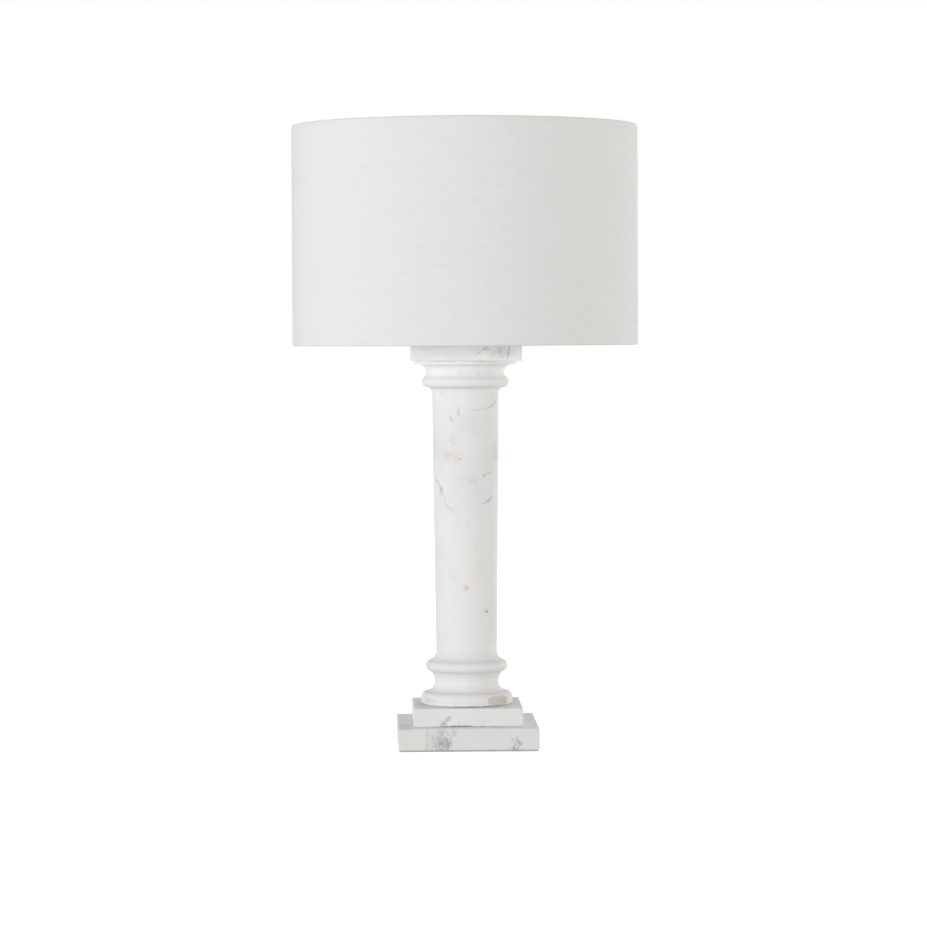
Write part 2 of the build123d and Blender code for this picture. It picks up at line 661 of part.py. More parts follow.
def shade_bottom_ring():
    return Pos(0, 0, BOTTOM_RING_Z) * Torus(RING_PITCH_R, RING_R)


def spider_hub():
    hub = tube(SPIDER_HUB_R, STUD_BORE_R, SPIDER_HUB_Z, SPIDER_HUB_T)
    seat_r = SPIDER_HUB_R - SPIDER_SEAT_L
    seat = rod(SPIDER_WIRE_R + THREAD_GAP, seat_r, SPIDER_HUB_DIA, SPIDER_MID_Z, RIGHTWARD)
    for angle in SPIDER_ANGLES:
        hub -= Rot(0, 0, angle) * seat
    return hub


def spider_arms():
    start = SPIDER_HUB_R - SPIDER_SEAT_L + SEAT_GAP
    points = [(start, SPIDER_MID_Z), (SPIDER_FLAT_R, SPIDER_MID_Z), (SPIDER_SLOPE_R, TOP_RING_Z),
              (RING_PITCH_R, TOP_RING_Z)]
    path = Plane.XZ * FilletPolyline(*points, radius=SPIDER_BEND)
    section = Plane.YZ.offset(start) * Pos(0, SPIDER_MID_Z) * Circle(SPIDER_WIRE_R)
    arm = sweep(section, path=path) - shade_top_ring()
    return [Rot(0, 0, angle) * arm for angle in SPIDER_ANGLES]


PIECES = [
    felt_pad, lower_plinth, upper_plinth, column_base, column_shaft, capital, abacus,
    threaded_pipe, bottom_washer, bottom_nut, cord_bushing, check_ring, lock_nut, neck_tube,
    harp_saddle, harp_frame, harp_sleeve_left, harp_sleeve_right, harp_stud,
    socket_cap, cap_screw, socket_shell, socket_liner, socket_insulator, terminal_screws,
    screw_shell, centre_contact, switch_stem, switch_knob,
    bulb_contact, bulb_insulator, bulb_screw_base, bulb_collar, bulb_globe,
    finial_insert, finial_knob,
    shade_fabric, shade_liner, shade_seam_tape, shade_top_ring, shade_bottom_ring,
    spider_hub, spider_arms,
]

os.makedirs("parts", exist_ok=True)
for piece in PIECES:
    made = piece()
    solids = made if isinstance(made, list) else [made]
    export_step(Compound(children=solids), f"parts/{piece.__name__}.step")
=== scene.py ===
import math

import bmesh
import bpy
from bpy.props import FloatProperty, FloatVectorProperty, IntProperty, PointerProperty
from mathutils import Matrix, Vector, noise


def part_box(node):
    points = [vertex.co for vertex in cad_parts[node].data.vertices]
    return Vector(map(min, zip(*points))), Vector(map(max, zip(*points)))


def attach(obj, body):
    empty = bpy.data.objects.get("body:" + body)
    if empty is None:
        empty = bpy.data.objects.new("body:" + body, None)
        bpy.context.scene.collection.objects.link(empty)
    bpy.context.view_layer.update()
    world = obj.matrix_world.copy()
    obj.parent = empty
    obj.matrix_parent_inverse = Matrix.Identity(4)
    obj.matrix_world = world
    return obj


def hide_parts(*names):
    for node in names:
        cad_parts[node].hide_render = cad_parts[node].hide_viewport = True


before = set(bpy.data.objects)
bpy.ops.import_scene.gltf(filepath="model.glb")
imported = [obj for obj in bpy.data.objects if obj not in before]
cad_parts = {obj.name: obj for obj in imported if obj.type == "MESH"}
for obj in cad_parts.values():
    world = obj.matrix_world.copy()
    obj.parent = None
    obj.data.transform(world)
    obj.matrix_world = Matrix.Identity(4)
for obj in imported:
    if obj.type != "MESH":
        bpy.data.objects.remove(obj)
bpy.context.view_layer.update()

bl_info = {
    "name": "Column table lamp",
    "version": (1, 0, 0),
    "blender": (4, 5, 0),
    "location": "3D View > Sidebar > Lamp",
    "description": "Dresses a turned stone column lamp with a linen drum shade",
    "category": "Add Mesh",
}

TURN = 2 * math.pi
MM = 1e-3               # marks on the stone are in millimetres
FINE = 1e-5             # steps of an outline are in hundredths of a millimetre
AXIS = 1e-5             # radius of a turned piece's own axis
UP, DOWN = 1j, -1j      # headings of an arc in an outline
TO_BACK = Matrix.Rotation(-math.pi / 2, 4, "X")
TO_FRONT = Matrix.Rotation(math.pi / 2, 4, "X")
TO_RIGHT = Matrix.Rotation(math.pi / 2, 4, "Y")
WHITE = (1.0, 1.0, 1.0)


def low(node):
    """The height of a node's underside."""
    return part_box(node)[0].z


def high(node):
    """The height of a node's top."""
    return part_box(node)[1].z


def radius(node):
    """Half a node's width along X."""
    bottom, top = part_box(node)
    return (top.x - bottom.x) / 2


def lifted(z):
    return Matrix.Translation((0, 0, z))


def spread(start, end, count):
    """Even values from start to end, both included."""
    return [start + (end - start) * i / count for i in range(count + 1)]


def round_about(steps):
    """Even angles round the axis."""
    return spread(0.0, TURN, steps)[:-1]


# ---- sizes, colours and stage that a user would change ----
def number(name, description, default, **settings):
    return FloatProperty(name=name, description=description, default=default, **settings)


def length(name, description, default):
    return number(name, description, default, min=0.0, unit="LENGTH", precision=5)


def level(name, description, default):
    return number(name, description, default, min=0.0)


def bearing(name, description, degrees):
    return number(name, description, math.radians(degrees), subtype="ANGLE")


def paint(name, description, default):
    return FloatVectorProperty(name=name, description=description, default=default,
                               subtype="COLOR", size=3, min=0.0, max=1.0)


class LampSizes(bpy.types.PropertyGroup):
    turning_steps: IntProperty(
        name="Turning steps", description="Faces round each turned piece", default=192, min=24)
    arris_ease: length("Arris ease", "Rounding of the slabs' arrises", 0.0011)
    arris_wear: length("Arris wear", "Deepest small chip in the slabs' arrises", 0.00045)
    turned_ease: length("Turned ease", "Rounding of the turned stone's corners", 0.0005)
    stone_bore: length("Stone bore", "Bore of the stone for the pipe", 0.013)
    hem_roll: length("Hem roll", "Outer radius of the fabric rolled round the ring wires", 0.0024)
    fabric: length("Fabric", "Thickness of the shade fabric", 0.0006)
    seam_lap: length("Seam lap", "Width of the lap in the back seam", 0.014)
    ring_wire: length("Ring wire", "Diameter of the shade's ring wires", 0.0024)
    spider_wire: length("Spider wire", "Diameter of the spider's arms", 0.0024)
    harp_wire: length("Harp wire", "Diameter of the harp's wire", 0.0045)
    stud_pitch: length("Stud pitch", "Thread pitch of the stud", 0.0254 / 27)
    bulb_pitch: length("Bulb pitch", "Thread pitch of the bulb", 0.003629)


class LampColours(bpy.types.PropertyGroup):
    slab_stone: paint("Slab stone", "Body of the square slabs", (0.764, 0.766, 0.770))
    turned_stone: paint("Turned stone", "Body of the turned stone", (0.779, 0.771, 0.756))
    cool_cloud: paint("Cool cloud", "Bluish clouds in the stone", (0.66, 0.675, 0.705))
    warm_cloud: paint("Warm cloud", "Cream clouds in the stone", (0.74, 0.715, 0.665))
    vein: paint("Vein", "Grey veins of the slabs", (0.27, 0.28, 0.31))
    brown_vein: paint("Brown vein", "Brownish veins of the turned stone", (0.38, 0.335, 0.285))
    filler: paint("Filler", "Beige fill in the foot disc", (0.59, 0.565, 0.505))
    ochre: paint("Ochre", "Rust specks and line", (0.60, 0.535, 0.40))
    # Also painted light: it lightens the lower plinth's top as if lit from above, and the upper shaft
    # and capital against the lampshade's shade
    pale_cloud_and_painted_light: paint("Milk", "Palest, milky clouds in the stone", (0.865, 0.858, 0.845))
    linen: paint("Linen", "Shade fabric", (0.80, 0.797, 0.785))
    liner: paint("Liner", "Smooth white sheet behind the fabric", (0.86, 0.86, 0.845))
    felt: paint("Felt", "Pad under the plinth", (0.42, 0.425, 0.42))
    nickel: paint("Nickel", "Plated harp, neck and finial", (0.74, 0.72, 0.69))
    brass: paint("Brass", "Socket shell and screws", (0.72, 0.56, 0.30))
    steel: paint("Steel", "Pipe, nuts and washer", (0.62, 0.62, 0.62))
    opal: paint("Opal", "Bulb globe", (0.93, 0.93, 0.91))
    # Also used on the stone for dark joint lines that are partly painted contact shadow
    phenolic: paint("Phenolic", "Socket insulator and knob", (0.07, 0.055, 0.05))


class LampStage(bpy.types.PropertyGroup):
    ambient: level("Ambient", "Even light from all round", 0.50)
    key: level("Key", "Soft light from the front left", 0.469)
    key_colour: paint("Key colour", "A little cool", (0.962, 0.972, 1.0))
    fill: level("Fill", "Soft light from the front right", 0.256)
    fill_colour: paint("Fill colour", "A little warm", (1.0, 0.98, 0.93))
    front: level("Front", "Weak light from the front", 0.14)
    back: level("Back", "Soft light from behind", 0.36)
    reach: length("Lamp reach", "From the column's axis to each soft lamp", 5.0)
    distance: length("Camera distance", "From the column's axis", 4.902)
    height: length("Camera height", "Above the floor", 0.5858)
    azimuth: bearing("Azimuth", "Camera's angle round the lamp", -1.6885)
    yaw: bearing("Yaw", "Camera's turn off the axis", 0.038)
    pitch: bearing("Pitch", "Camera's tilt down", 2.185)
    roll: bearing("Roll", "Camera's roll", -0.252)
    lens: number("Lens", "Focal length in millimetres on a 36 mm film", 134.32, min=1.0)


# ---- nodes ----
class Wiring:
    """Adds the nodes of one material or group, and joins them."""

    def __init__(self, tree):
        self.tree = tree

    def own(self, kind):
        """The node of this kind that the tree came with."""
        return next(node for node in self.tree.nodes if node.type == kind)

    def feed(self, socket, value):
        if isinstance(value, bpy.types.NodeSocket):
            self.tree.links.new(value, socket)
        elif socket.type == "RGBA" and len(value) == 3:
            socket.default_value = (*value, 1.0)
        else:
            socket.default_value = value

    def add(self, kind, inputs=(), **settings):
        node = self.tree.nodes.new("ShaderNode" + kind)
        for name, value in settings.items():
            setattr(node, name, value)
        for name, value in dict(inputs).items():
            self.feed(node.inputs[name], value)
        return node

    def math(self, operation, *values, clamp=False):
        node = self.add("Math", enumerate(values), operation=operation, use_clamp=clamp)
        return node.outputs[0]

    def vector(self, operation, *values):
        node = self.add("VectorMath", enumerate(values), operation=operation)
        return node.outputs["Value" if operation in ("DOT_PRODUCT", "LENGTH") else "Vector"]

    def scaled(self, vector, factor):
        node = self.add("VectorMath", {0: vector, "Scale": factor}, operation="SCALE")
        return node.outputs["Vector"]

    def noise(self, place, scale, detail=2.0, roughness=0.5, out="Fac"):
        node = self.add("TexNoise", {"Vector": place, "Scale": scale, "Detail": detail,
                                     "Roughness": roughness})
        return node.outputs[out]

    def step(self, value, start, end, first=0.0, last=1.0):
        """A smooth step of value from start to end."""
        node = self.add("MapRange", enumerate((value, start, end, first, last)),
                        interpolation_type="SMOOTHSTEP")
        return node.outputs[0]

    def mix(self, factor, first, last):
        return self.add("Mix", {0: factor, 6: first, 7: last}, data_type="RGBA").outputs[2]

    def blend(self, factor, first, last):
        return self.add("Mix", {0: factor, 2: first, 3: last}, data_type="FLOAT").outputs[0]

    def parts(self, vector):
        return self.add("SeparateXYZ", {0: vector}).outputs

    def join(self, x, y, z):
        return self.add("CombineXYZ", {0: x, 1: y, 2: z}).outputs[0]

    def bump(self, height, distance, strength=1.0):
        return self.add("Bump", {"Height": height, "Distance": distance,
                                 "Strength": strength}).outputs[0]

    def effect(self, name, **inputs):
        """A shared effect, placed with its own values."""
        return self.add("Group", inputs, node_tree=SHARED[name]()).outputs

    def place(self):
        return self.add("TexCoord").outputs["Object"]

    def wavered(self, place, scale, reach):
        """A place that noise carries off by up to about reach."""
        drift = self.vector("SUBTRACT", self.noise(place, scale, 3.0, out="Color"), (0.5, 0.5, 0.5))
        return self.vector("ADD", place, self.scaled(drift, 2 * reach))

    def unrolled(self, place, around):
        """Places on a turned surface laid flat: arc length from the front, 0, height."""
        x, y, z = self.parts(place)
        angle = self.math("ARCTAN2", x, self.math("MULTIPLY", y, -1.0))
        return self.join(self.math("MULTIPLY", angle, around), 0.0, z)

    def seen(self):
        """1 for what the camera sees, also in a mirror or through glass, and 0 for other rays."""
        rays = self.add("LightPath").outputs
        return self.math("MAXIMUM", rays["Is Camera Ray"],
                         self.math("MAXIMUM", rays["Is Glossy Ray"], rays["Is Transmission Ray"]))


SHARED = {}


def shared(name, gives, vectors="", colours="", **values):
    """Lists a shader node group by its name, to be made on first use."""
    inputs = [(title, "Vector") for title in ("Place " + vectors).split()]
    inputs += [(title, "Color") for title in colours.split()]
    inputs += [(title, "Float") for title in values]

    def listed(build):
        def fetch():
            tree = bpy.data.node_groups.get(name)
            if tree:
                return tree
            tree = bpy.data.node_groups.new(name, "ShaderNodeTree")
            for title, kind in inputs:
                socket = tree.interface.new_socket(title, in_out="INPUT",
                                                   socket_type="NodeSocket" + kind)
                if title in values:
                    socket.default_value = values[title]
            for title in gives.split():
                kind = "Color" if title == "Color" else "Float"
                tree.interface.new_socket(title, in_out="OUTPUT", socket_type="NodeSocket" + kind)
            given = tree.nodes.new("NodeGroupInput").outputs
            taken = tree.nodes.new("NodeGroupOutput").inputs
            for title, value in build(Wiring(tree), given).items():
                tree.links.new(value, taken[title])
            return tree
        SHARED[name] = fetch
        return build
    return listed


@shared("stone_clouds", "Color", colours="Body Cool Warm", Scale=14.0, Amount=0.4)
def build_clouds(w, given):
    place = given["Place"]
    broad = w.noise(place, given["Scale"], 4.0, 0.55)
    other = w.noise(w.vector("ADD", place, (1.7, 0.6, 2.9)), given["Scale"], 3.0, 0.5)
    grain = w.noise(place, 900.0, 2.0)
    cool = w.math("MULTIPLY", w.step(broad, 0.48, 0.72), given["Amount"])
    warm = w.math("MULTIPLY", w.step(other, 0.50, 0.74), given["Amount"])
    tone = w.mix(warm, w.mix(cool, given["Body"], given["Cool"]), given["Warm"])
    dim = w.math("MULTIPLY", w.step(grain, 0.55, 0.80), 0.05)
    return {"Color": w.mix(dim, tone, given["Cool"])}


@shared("stone_streak", "Mask", "Start End", Width=0.001, Taper=0.7)
def build_streak(w, given):
    run = w.vector("SUBTRACT", given["End"], given["Start"])
    away = w.vector("SUBTRACT", given["Place"], given["Start"])
    along = w.math("DIVIDE", w.vector("DOT_PRODUCT", away, run),
                   w.vector("DOT_PRODUCT", run, run), clamp=True)
    off = w.vector("LENGTH", w.vector("SUBTRACT", away, w.scaled(run, along)))
    middle = w.math("MULTIPLY_ADD", along, 2.0, -1.0)
    thin = w.math("MULTIPLY", w.math("MULTIPLY", middle, middle), given["Taper"])
    half = w.math("MULTIPLY", given["Width"], w.math("SUBTRACT", 0.5, w.math("MULTIPLY", thin, 0.5)))
    return {"Mask": w.step(off, w.math("MULTIPLY", half, 0.2), half, 1.0, 0.0)}


def far_from(w, given):
    """How far a place is from the centre, as a share of the reach, on rounded squares."""
    away = w.vector("DIVIDE", w.vector("SUBTRACT", given["Place"], given["Centre"]), given["Reach"])
    cubes = [w.math("POWER", w.math("ABSOLUTE", side), 3.0) for side in w.parts(away)]
    return w.math("POWER", w.math("ADD", w.math("ADD", cubes[0], cubes[1]), cubes[2]), 1 / 3)


@shared("stone_blotch", "Mask", "Centre Reach", Grain=120.0, Ragged=0.3, Feather=0.9)
def build_blotch(w, given):
    ragged = w.math("MULTIPLY_ADD", w.noise(given["Place"], given["Grain"], 4.0, 0.6), 2.0, -1.0)
    edge = w.math("ADD", far_from(w, given), w.math("MULTIPLY", ragged, given["Ragged"]))
    return {"Mask": w.step(edge, w.math("SUBTRACT", 1.0, given["Feather"]), 1.0, 1.0, 0.0)}


@shared("stone_scribble", "Mask", "Centre Reach Stretch", Grain=90.0, Thin=0.03)
def build_scribble(w, given):
    wander = w.noise(w.vector("MULTIPLY", given["Place"], given["Stretch"]), given["Grain"], 5.0, 0.6)
    line = w.step(w.math("ABSOLUTE", w.math("SUBTRACT", wander, 0.5)), 0.0, given["Thin"], 1.0, 0.0)
    broken = w.step(w.noise(given["Place"], w.math("MULTIPLY", given["Grain"], 0.6), 2.0), 0.38, 0.62)
    within = w.step(far_from(w, given), 0.45, 1.0, 1.0, 0.0)
    return {"Mask": w.math("MULTIPLY", w.math("MULTIPLY", line, broken), within)}


@shared("stone_polish", "Roughness Height", Roughness=0.4, Spread=0.2)
def build_polish(w, given):
    place = given["Place"]
    patch = w.math("SUBTRACT", w.noise(place, 38.0, 3.0), 0.5)
    rough = w.math("MULTIPLY_ADD", patch, given["Spread"], given["Roughness"])
    pits = w.step(w.noise(place, 520.0, 1.0), 0.66, 0.80)
    swell = w.noise(place, 60.0, 2.0)
    return {"Roughness": w.math("ADD", rough, w.math("MULTIPLY", pits, 0.25), clamp=True),
            "Height": w.math("SUBTRACT", w.math("MULTIPLY", swell, 0.3), pits)}


@shared("metal_wear", "Color Roughness Height", "Grain", "Metal Dull", Roughness=0.25, Tarnish=0.3)
def build_metal(w, given):
    place = given["Place"]
    drawn = w.noise(w.vector("MULTIPLY", place, given["Grain"]), 1.0, 3.0, 0.6)
    smudge = w.noise(place, 90.0, 3.0, 0.6)
    rough = w.math("ADD", given["Roughness"], w.math("MULTIPLY", w.step(smudge, 0.45, 0.75), 0.14))
    dull = w.math("MULTIPLY", w.step(smudge, 0.5, 0.8), given["Tarnish"])
    return {"Color": w.mix(dull, given["Metal"], given["Dull"]),
            "Roughness": w.math("MULTIPLY_ADD", drawn, 0.08, rough, clamp=True), "Height": drawn}


@shared("fibre_grain", "Color Height", colours="Body Light", Grain=700.0, Contrast=0.6)
def build_fibre(w, given):
    place = given["Place"]
    hair = w.noise(w.wavered(place, 260.0, 0.004), given["Grain"], 4.0, 0.7)
    patch = w.noise(place, 45.0, 3.0)
    tone = w.math("MULTIPLY_ADD", w.math("ADD", hair, patch), 0.5, 0.5)
    shade = w.math("MULTIPLY", w.step(tone, 0.80, 1.15), given["Contrast"])
    return {"Color": w.mix(shade, given["Body"], given["Light"]), "Height": hair}


@shared("linen_weave", "Color Height", colours="Body Slub", Pitch=0.0007, Contrast=0.5)
def build_weave(w, given):
    across, _, along = w.parts(given["Place"])
    pitch = given["Pitch"]
    count_across, count_along = (w.math("DIVIDE", side, pitch) for side in (across, along))
    warp = w.noise(w.join(count_across, 0.0, w.math("MULTIPLY", along, 220.0)), 0.55, 2.0)
    weft = w.noise(w.join(w.math("MULTIPLY", across, 220.0), 3.0, count_along), 0.55, 2.0)
    threads = [w.math("ABSOLUTE", w.math("SINE", w.math("MULTIPLY_ADD", count, math.pi, drift)))
               for count, drift in ((count_across, warp), (count_along, weft))]
    checks = [w.math("SINE", w.math("MULTIPLY", count, math.pi))
              for count in (count_across, count_along)]
    over = w.step(w.math("MULTIPLY", *checks), -0.2, 0.2)
    weave = w.blend(over, *threads)
    slub = w.math("ADD", warp, weft)
    mottle = w.noise(given["Place"], 38.0, 4.0, 0.6)
    fleck = w.step(w.math("MULTIPLY_ADD", mottle, 0.4, slub), 1.0, 1.6)
    gaps = w.math("MULTIPLY", w.math("SUBTRACT", 1.0, weave), 0.20)
    thread = w.mix(w.math("MULTIPLY", fleck, given["Contrast"]), given["Body"], given["Slub"])
    return {"Color": w.mix(w.math("MULTIPLY", gaps, given["Contrast"]), thread, given["Slub"]),
            "Height": w.math("MULTIPLY_ADD", slub, 0.35, weave)}


@shared("moulded_skin", "Color Roughness Height", colours="Body Dust", Roughness=0.4, Grain=900.0)
def build_moulding(w, given):
    place = given["Place"]
    dust = w.step(w.noise(place, 160.0, 3.0, 0.6), 0.52, 0.80)
    return {"Color": w.mix(w.math("MULTIPLY", dust, 0.10), given["Body"], given["Dust"]),
            "Roughness": w.math("MULTIPLY_ADD", dust, 0.15, given["Roughness"], clamp=True),
            "Height": w.noise(place, given["Grain"], 2.0)}


# ---- materials ----
def tint(colour):
    """A colour of the settings by its name, or the colour itself."""
    return getattr(bpy.context.scene.lamp_colours, colour) if isinstance(colour, str) else colour


def finish(name, build, **constants):
    """A material. Constants go on the shader's own sockets; build returns what varies."""
    material = bpy.data.materials.get(name)
    if material:
        return material
    material = bpy.data.materials.new(name)
    material.use_nodes = True
    w = Wiring(material.node_tree)
    shader = w.own("BSDF_PRINCIPLED")
    for title, value in constants.items():
        w.feed(shader.inputs[title.replace("_", " ")], value)
    for title, value in build(w).items():
        w.feed(shader.inputs[title], value)
    return material


def surface(name, effect, depth, strength, values, around=0.0, **constants):
    """A material of one effect, laid flat round the radius around where it is given."""
    def build(w):
        place = w.unrolled(w.place(), around) if around else w.place()
        made = w.effect(effect, Place=place, **values)
        varied = {"Base Color": made["Color"], "Normal": w.bump(made["Height"], depth, strength)}
        if "Roughness" in made:
            varied["Roughness"] = made["Roughness"]
        return varied
    return finish(name, build, **constants)


METALS = {      # colour, dulled colour, roughness, tarnish
    "satin_nickel": ("nickel", (0.42, 0.40, 0.37), 0.22, 0.3),
    "lacquered_brass": ("brass", (0.38, 0.26, 0.13), 0.26, 0.3),
    "zinc_steel": ("steel", (0.33, 0.33, 0.32), 0.34, 0.5),
    "rolled_aluminium": ((0.78, 0.78, 0.78), (0.45, 0.45, 0.44), 0.24, 0.35),
    "solder_bead": ((0.60, 0.60, 0.59), (0.34, 0.34, 0.33), 0.38, 0.5),
}
MOULDINGS = {   # colour, dust's colour, roughness, grain, coat
    "bushing_rubber": ((0.03, 0.03, 0.03), (0.30, 0.29, 0.27), 0.55, 900.0, 0.0),
    "phenolic_moulding": ("phenolic", (0.35, 0.32, 0.28), 0.38, 900.0, 0.0),
    "knob_plastic": ("phenolic", (0.30, 0.28, 0.25), 0.22, 500.0, 0.6),
    "collar_plastic": ((0.80, 0.80, 0.78), (0.62, 0.61, 0.58), 0.30, 700.0, 0.3),
    "vitrite": ((0.02, 0.02, 0.025), (0.25, 0.25, 0.25), 0.15, 400.0, 0.5),
    "styrene_sheet": ("liner", (0.74, 0.73, 0.70), 0.42, 240.0, 0.15),
    "powder_coat": ((0.78, 0.78, 0.76), (0.60, 0.59, 0.57), 0.35, 1400.0, 0.2),
}
FIBRES = {      # colour, light hairs' colour, grain, contrast, depth, sheen
    "pressed_felt": ("felt", (0.58, 0.585, 0.58), 900.0, 0.55, 0.0004, 0.3),
    "vulcan_card": ((0.20, 0.13, 0.08), (0.36, 0.26, 0.17), 500.0, 0.6, 0.0002, 0.0),
}
CLOTHS = {      # colour, slubs' colour, thread pitch, contrast, depth
    "linen_cloth": ("linen", (0.62, 0.605, 0.575), 0.0008, 0.22, 0.00014),
    "tape_cloth": ((0.83, 0.83, 0.81), (0.70, 0.69, 0.66), 0.0012, 0.3, 0.00003),
}


def metal(name):
    colour, dull, roughness, tarnish = METALS[name]
    return surface(name, "metal_wear", 0.00002, 0.5,
                   {"Metal": tint(colour), "Dull": dull, "Roughness": roughness,
                    "Tarnish": tarnish, "Grain": (220.0, 220.0, 220.0)}, Metallic=1.0)


def moulded(name):
    colour, dust, roughness, grain, coat = MOULDINGS[name]
    return surface(name, "moulded_skin", 0.00002, 0.6,
                   {"Body": tint(colour), "Dust": dust, "Roughness": roughness, "Grain": grain},
                   Coat_Weight=coat, Coat_Roughness=0.12)


def opal_glass():
    return surface("opal_glass", "moulded_skin", 0.00005, 0.4,
                   {"Body": tint("opal"), "Dust": (0.82, 0.81, 0.78), "Roughness": 0.16,
                    "Grain": 60.0}, IOR=1.5, Coat_Weight=0.5, Coat_Roughness=0.06)


def fibrous(name):
    colour, light, grain, contrast, depth, sheen = FIBRES[name]
    return surface(name, "fibre_grain", depth, 1.0,
                   {"Body": tint(colour), "Light": light, "Grain": grain, "Contrast": contrast},
                   Roughness=0.9, Sheen_Weight=sheen, Sheen_Roughness=0.5)


def woven(name, around):
    colour, slub, pitch, contrast, depth = CLOTHS[name]
    return surface(name, "linen_weave", depth, 0.7,
                   {"Body": tint(colour), "Slub": slub, "Pitch": pitch, "Contrast": contrast},
                   around, Roughness=0.92, Specular_IOR_Level=0.2, Sheen_Weight=0.12,
                   Sheen_Roughness=0.4)


def stone(name, body, marks, depth, deep, clouds, roughness, around=0.0):
    """Marble with its own veins. Marks lie at depth and reach deep where they don't say so.

    Turned stone is laid flat round the radius around.
    """
    colours = bpy.context.scene.lamp_colours

    def build(w):
        solid = w.place()
        flat = w.unrolled(solid, around) if around else solid
        drifted = w.wavered(flat, 130.0, 0.0016)
        tone = w.effect("stone_clouds", Place=solid, Body=body, Cool=colours.cool_cloud,
                        Warm=colours.warm_cloud, Amount=clouds)["Color"]
        for effect, colour, strength, spots, values in sum(marks, []):
            placed = {title: in_metres(spot, deep if title == "Reach" else depth)
                      for title, spot in spots.items()}
            mask = w.effect(effect, Place=drifted, **placed, **values)["Mask"]
            tone = w.mix(w.math("MULTIPLY", mask, strength), tone, getattr(colours, colour))
        polish = w.effect("stone_polish", Place=solid, Roughness=roughness)
        return {"Base Color": tone, "Roughness": polish["Roughness"],
                "Normal": w.bump(polish["Height"], 0.00006)}
    return finish(name, build, IOR=1.5, Specular_IOR_Level=0.25)


def in_metres(spot, depth):
    """Metres from millimetres. A spot of two is (across, height), at this depth in metres."""
    across, *own, up = spot
    return (across * MM, own[0] * MM if own else depth, up * MM)


# ---- marks on the stone, in millimetres: across from the middle of the front, and height ----
FACE_RUN, EVEN_RUN, BLOCK_RUN = (1.0, 1.0, 0.45), (1.0, 1.0, 1.0), (1.0, 0.8, 0.9)
HALO, LINE = (3.6, 0.35), (1.3, 1.0)    # a streak is laid twice: shares of its width and strength


def streak(colour, strength, width, *points, taper=0.7):
    """A vein through points of (across, height)."""
    return [("stone_streak", colour, share * strength, {"Start": start, "End": end},
             {"Width": spread_out * width * MM, "Taper": taper})
            for start, end in zip(points, points[1:]) for spread_out, share in (HALO, LINE)]


def blotch(colour, strength, centre, reach, grain, ragged, feather=0.9):
    """A cloud with a ragged edge."""
    return [("stone_blotch", colour, strength, {"Centre": centre, "Reach": reach},
             {"Grain": grain, "Ragged": ragged, "Feather": feather})]


def scribble(colour, strength, centre, reach, grain, thin, stretch=FACE_RUN):
    """Fine broken veins within a reach."""
    return [("stone_scribble", colour, strength, {"Centre": centre, "Reach": reach},
             {"Grain": grain, "Thin": thin, "Stretch": stretch})]


LOWER_TOP, UPPER_JOINT = high("lower_plinth") / MM, low("upper_plinth") / MM + 0.3
FOOT_JOINT, SHAFT_TOP = low("column_base") / MM + 0.3, high("column_shaft") / MM
CAP_TOP = high("capital") / MM
CAP_FILLET = CAP_TOP - 5.1

LOWER_MARKS = (
    streak("vein", 0.42, 1.4, (-59, 33.5), (-58, 18), (-60, 2), taper=0.3),
    blotch("vein", 0.16, (-44, 19), (21, 20), 110, 0.6),
    blotch("vein", 0.34, (-33, 10), (11, 13), 150, 0.6),
    blotch("vein", 0.30, (-21.5, 26.5), (7, 9), 150, 0.6),
    scribble("vein", 0.95, (-35, 12), (14, 15), 170, 0.09),
    scribble("vein", 0.75, (-44, 6), (21, 11), 150, 0.08),
    scribble("vein", 0.50, (-40, 24), (20, 12), 120, 0.06),
    streak("vein", 0.55, 1.3, (-33, 20), (-29, 11), (-30, 2)),
    streak("vein", 0.50, 1.2, (-40, 18), (-35, 7)),
    blotch("warm_cloud", 0.70, (-78, 17), (23, 20), 60, 0.4),
    blotch("vein", 0.12, (65.5, 8), (12, 13), 110, 0.6),
    scribble("vein", 0.85, (65.5, 8), (12, 14), 150, 0.08),
    streak("vein", 0.40, 1.2, (69, 23), (65, 12), (60, 3)),
    streak("vein", 0.45, 1.2, (64, 13), (69, 2)),
    # painted light: the whole top face is lightened as if lit more from above
    blotch("pale_cloud_and_painted_light", 0.78, (0, 0, LOWER_TOP), (130, 130, 1.2), 40, 0.1, 0.5),
    blotch("vein", 0.28, (-90, -60, 32.5), (15, 60, 4), 70, 0.8),
    blotch("vein", 0.10, (90, 20, 32.5), (15, 100, 4), 70, 0.8),
    scribble("vein", 0.42, (-88, -20, 32.5), (20, 100, 6), 120, 0.07, EVEN_RUN),
    scribble("vein", 0.24, (88, 0, 32.5), (20, 120, 6), 120, 0.07, EVEN_RUN),
    scribble("vein", 0.30, (0, 30, 20), (130, 100, 40), 26, 0.016, BLOCK_RUN),
)
UPPER_MARKS = (
    blotch("vein", 0.42, (-34.5, 37.5), (6, 6), 200, 0.5),
    blotch("vein", 0.36, (-28, 44), (5, 5), 200, 0.5),
    streak("vein", 0.24, 3.5, (-40, 33.5), (-25, 47)),
    scribble("vein", 0.45, (-11, 37), (9, 6), 160, 0.07),
    # dark joint line under the upper plinth, partly painted contact shadow
    blotch("phenolic", 0.85, (-17, UPPER_JOINT), (38, 2), 90, 0.4),
    blotch("vein", 0.60, (0, UPPER_JOINT), (85, 1.6), 90, 0.4),
    scribble("vein", 0.50, (-64, 0, 58.3), (16, 80, 4), 150, 0.08, EVEN_RUN),
    blotch("vein", 0.30, (-66, -10, 58.3), (13, 70, 3), 80, 0.8),
    blotch("vein", 0.26, (66, 10, 58.3), (13, 60, 3), 80, 0.8),
    scribble("vein", 0.26, (0, 40, 46), (100, 80, 40), 30, 0.016, BLOCK_RUN),
)
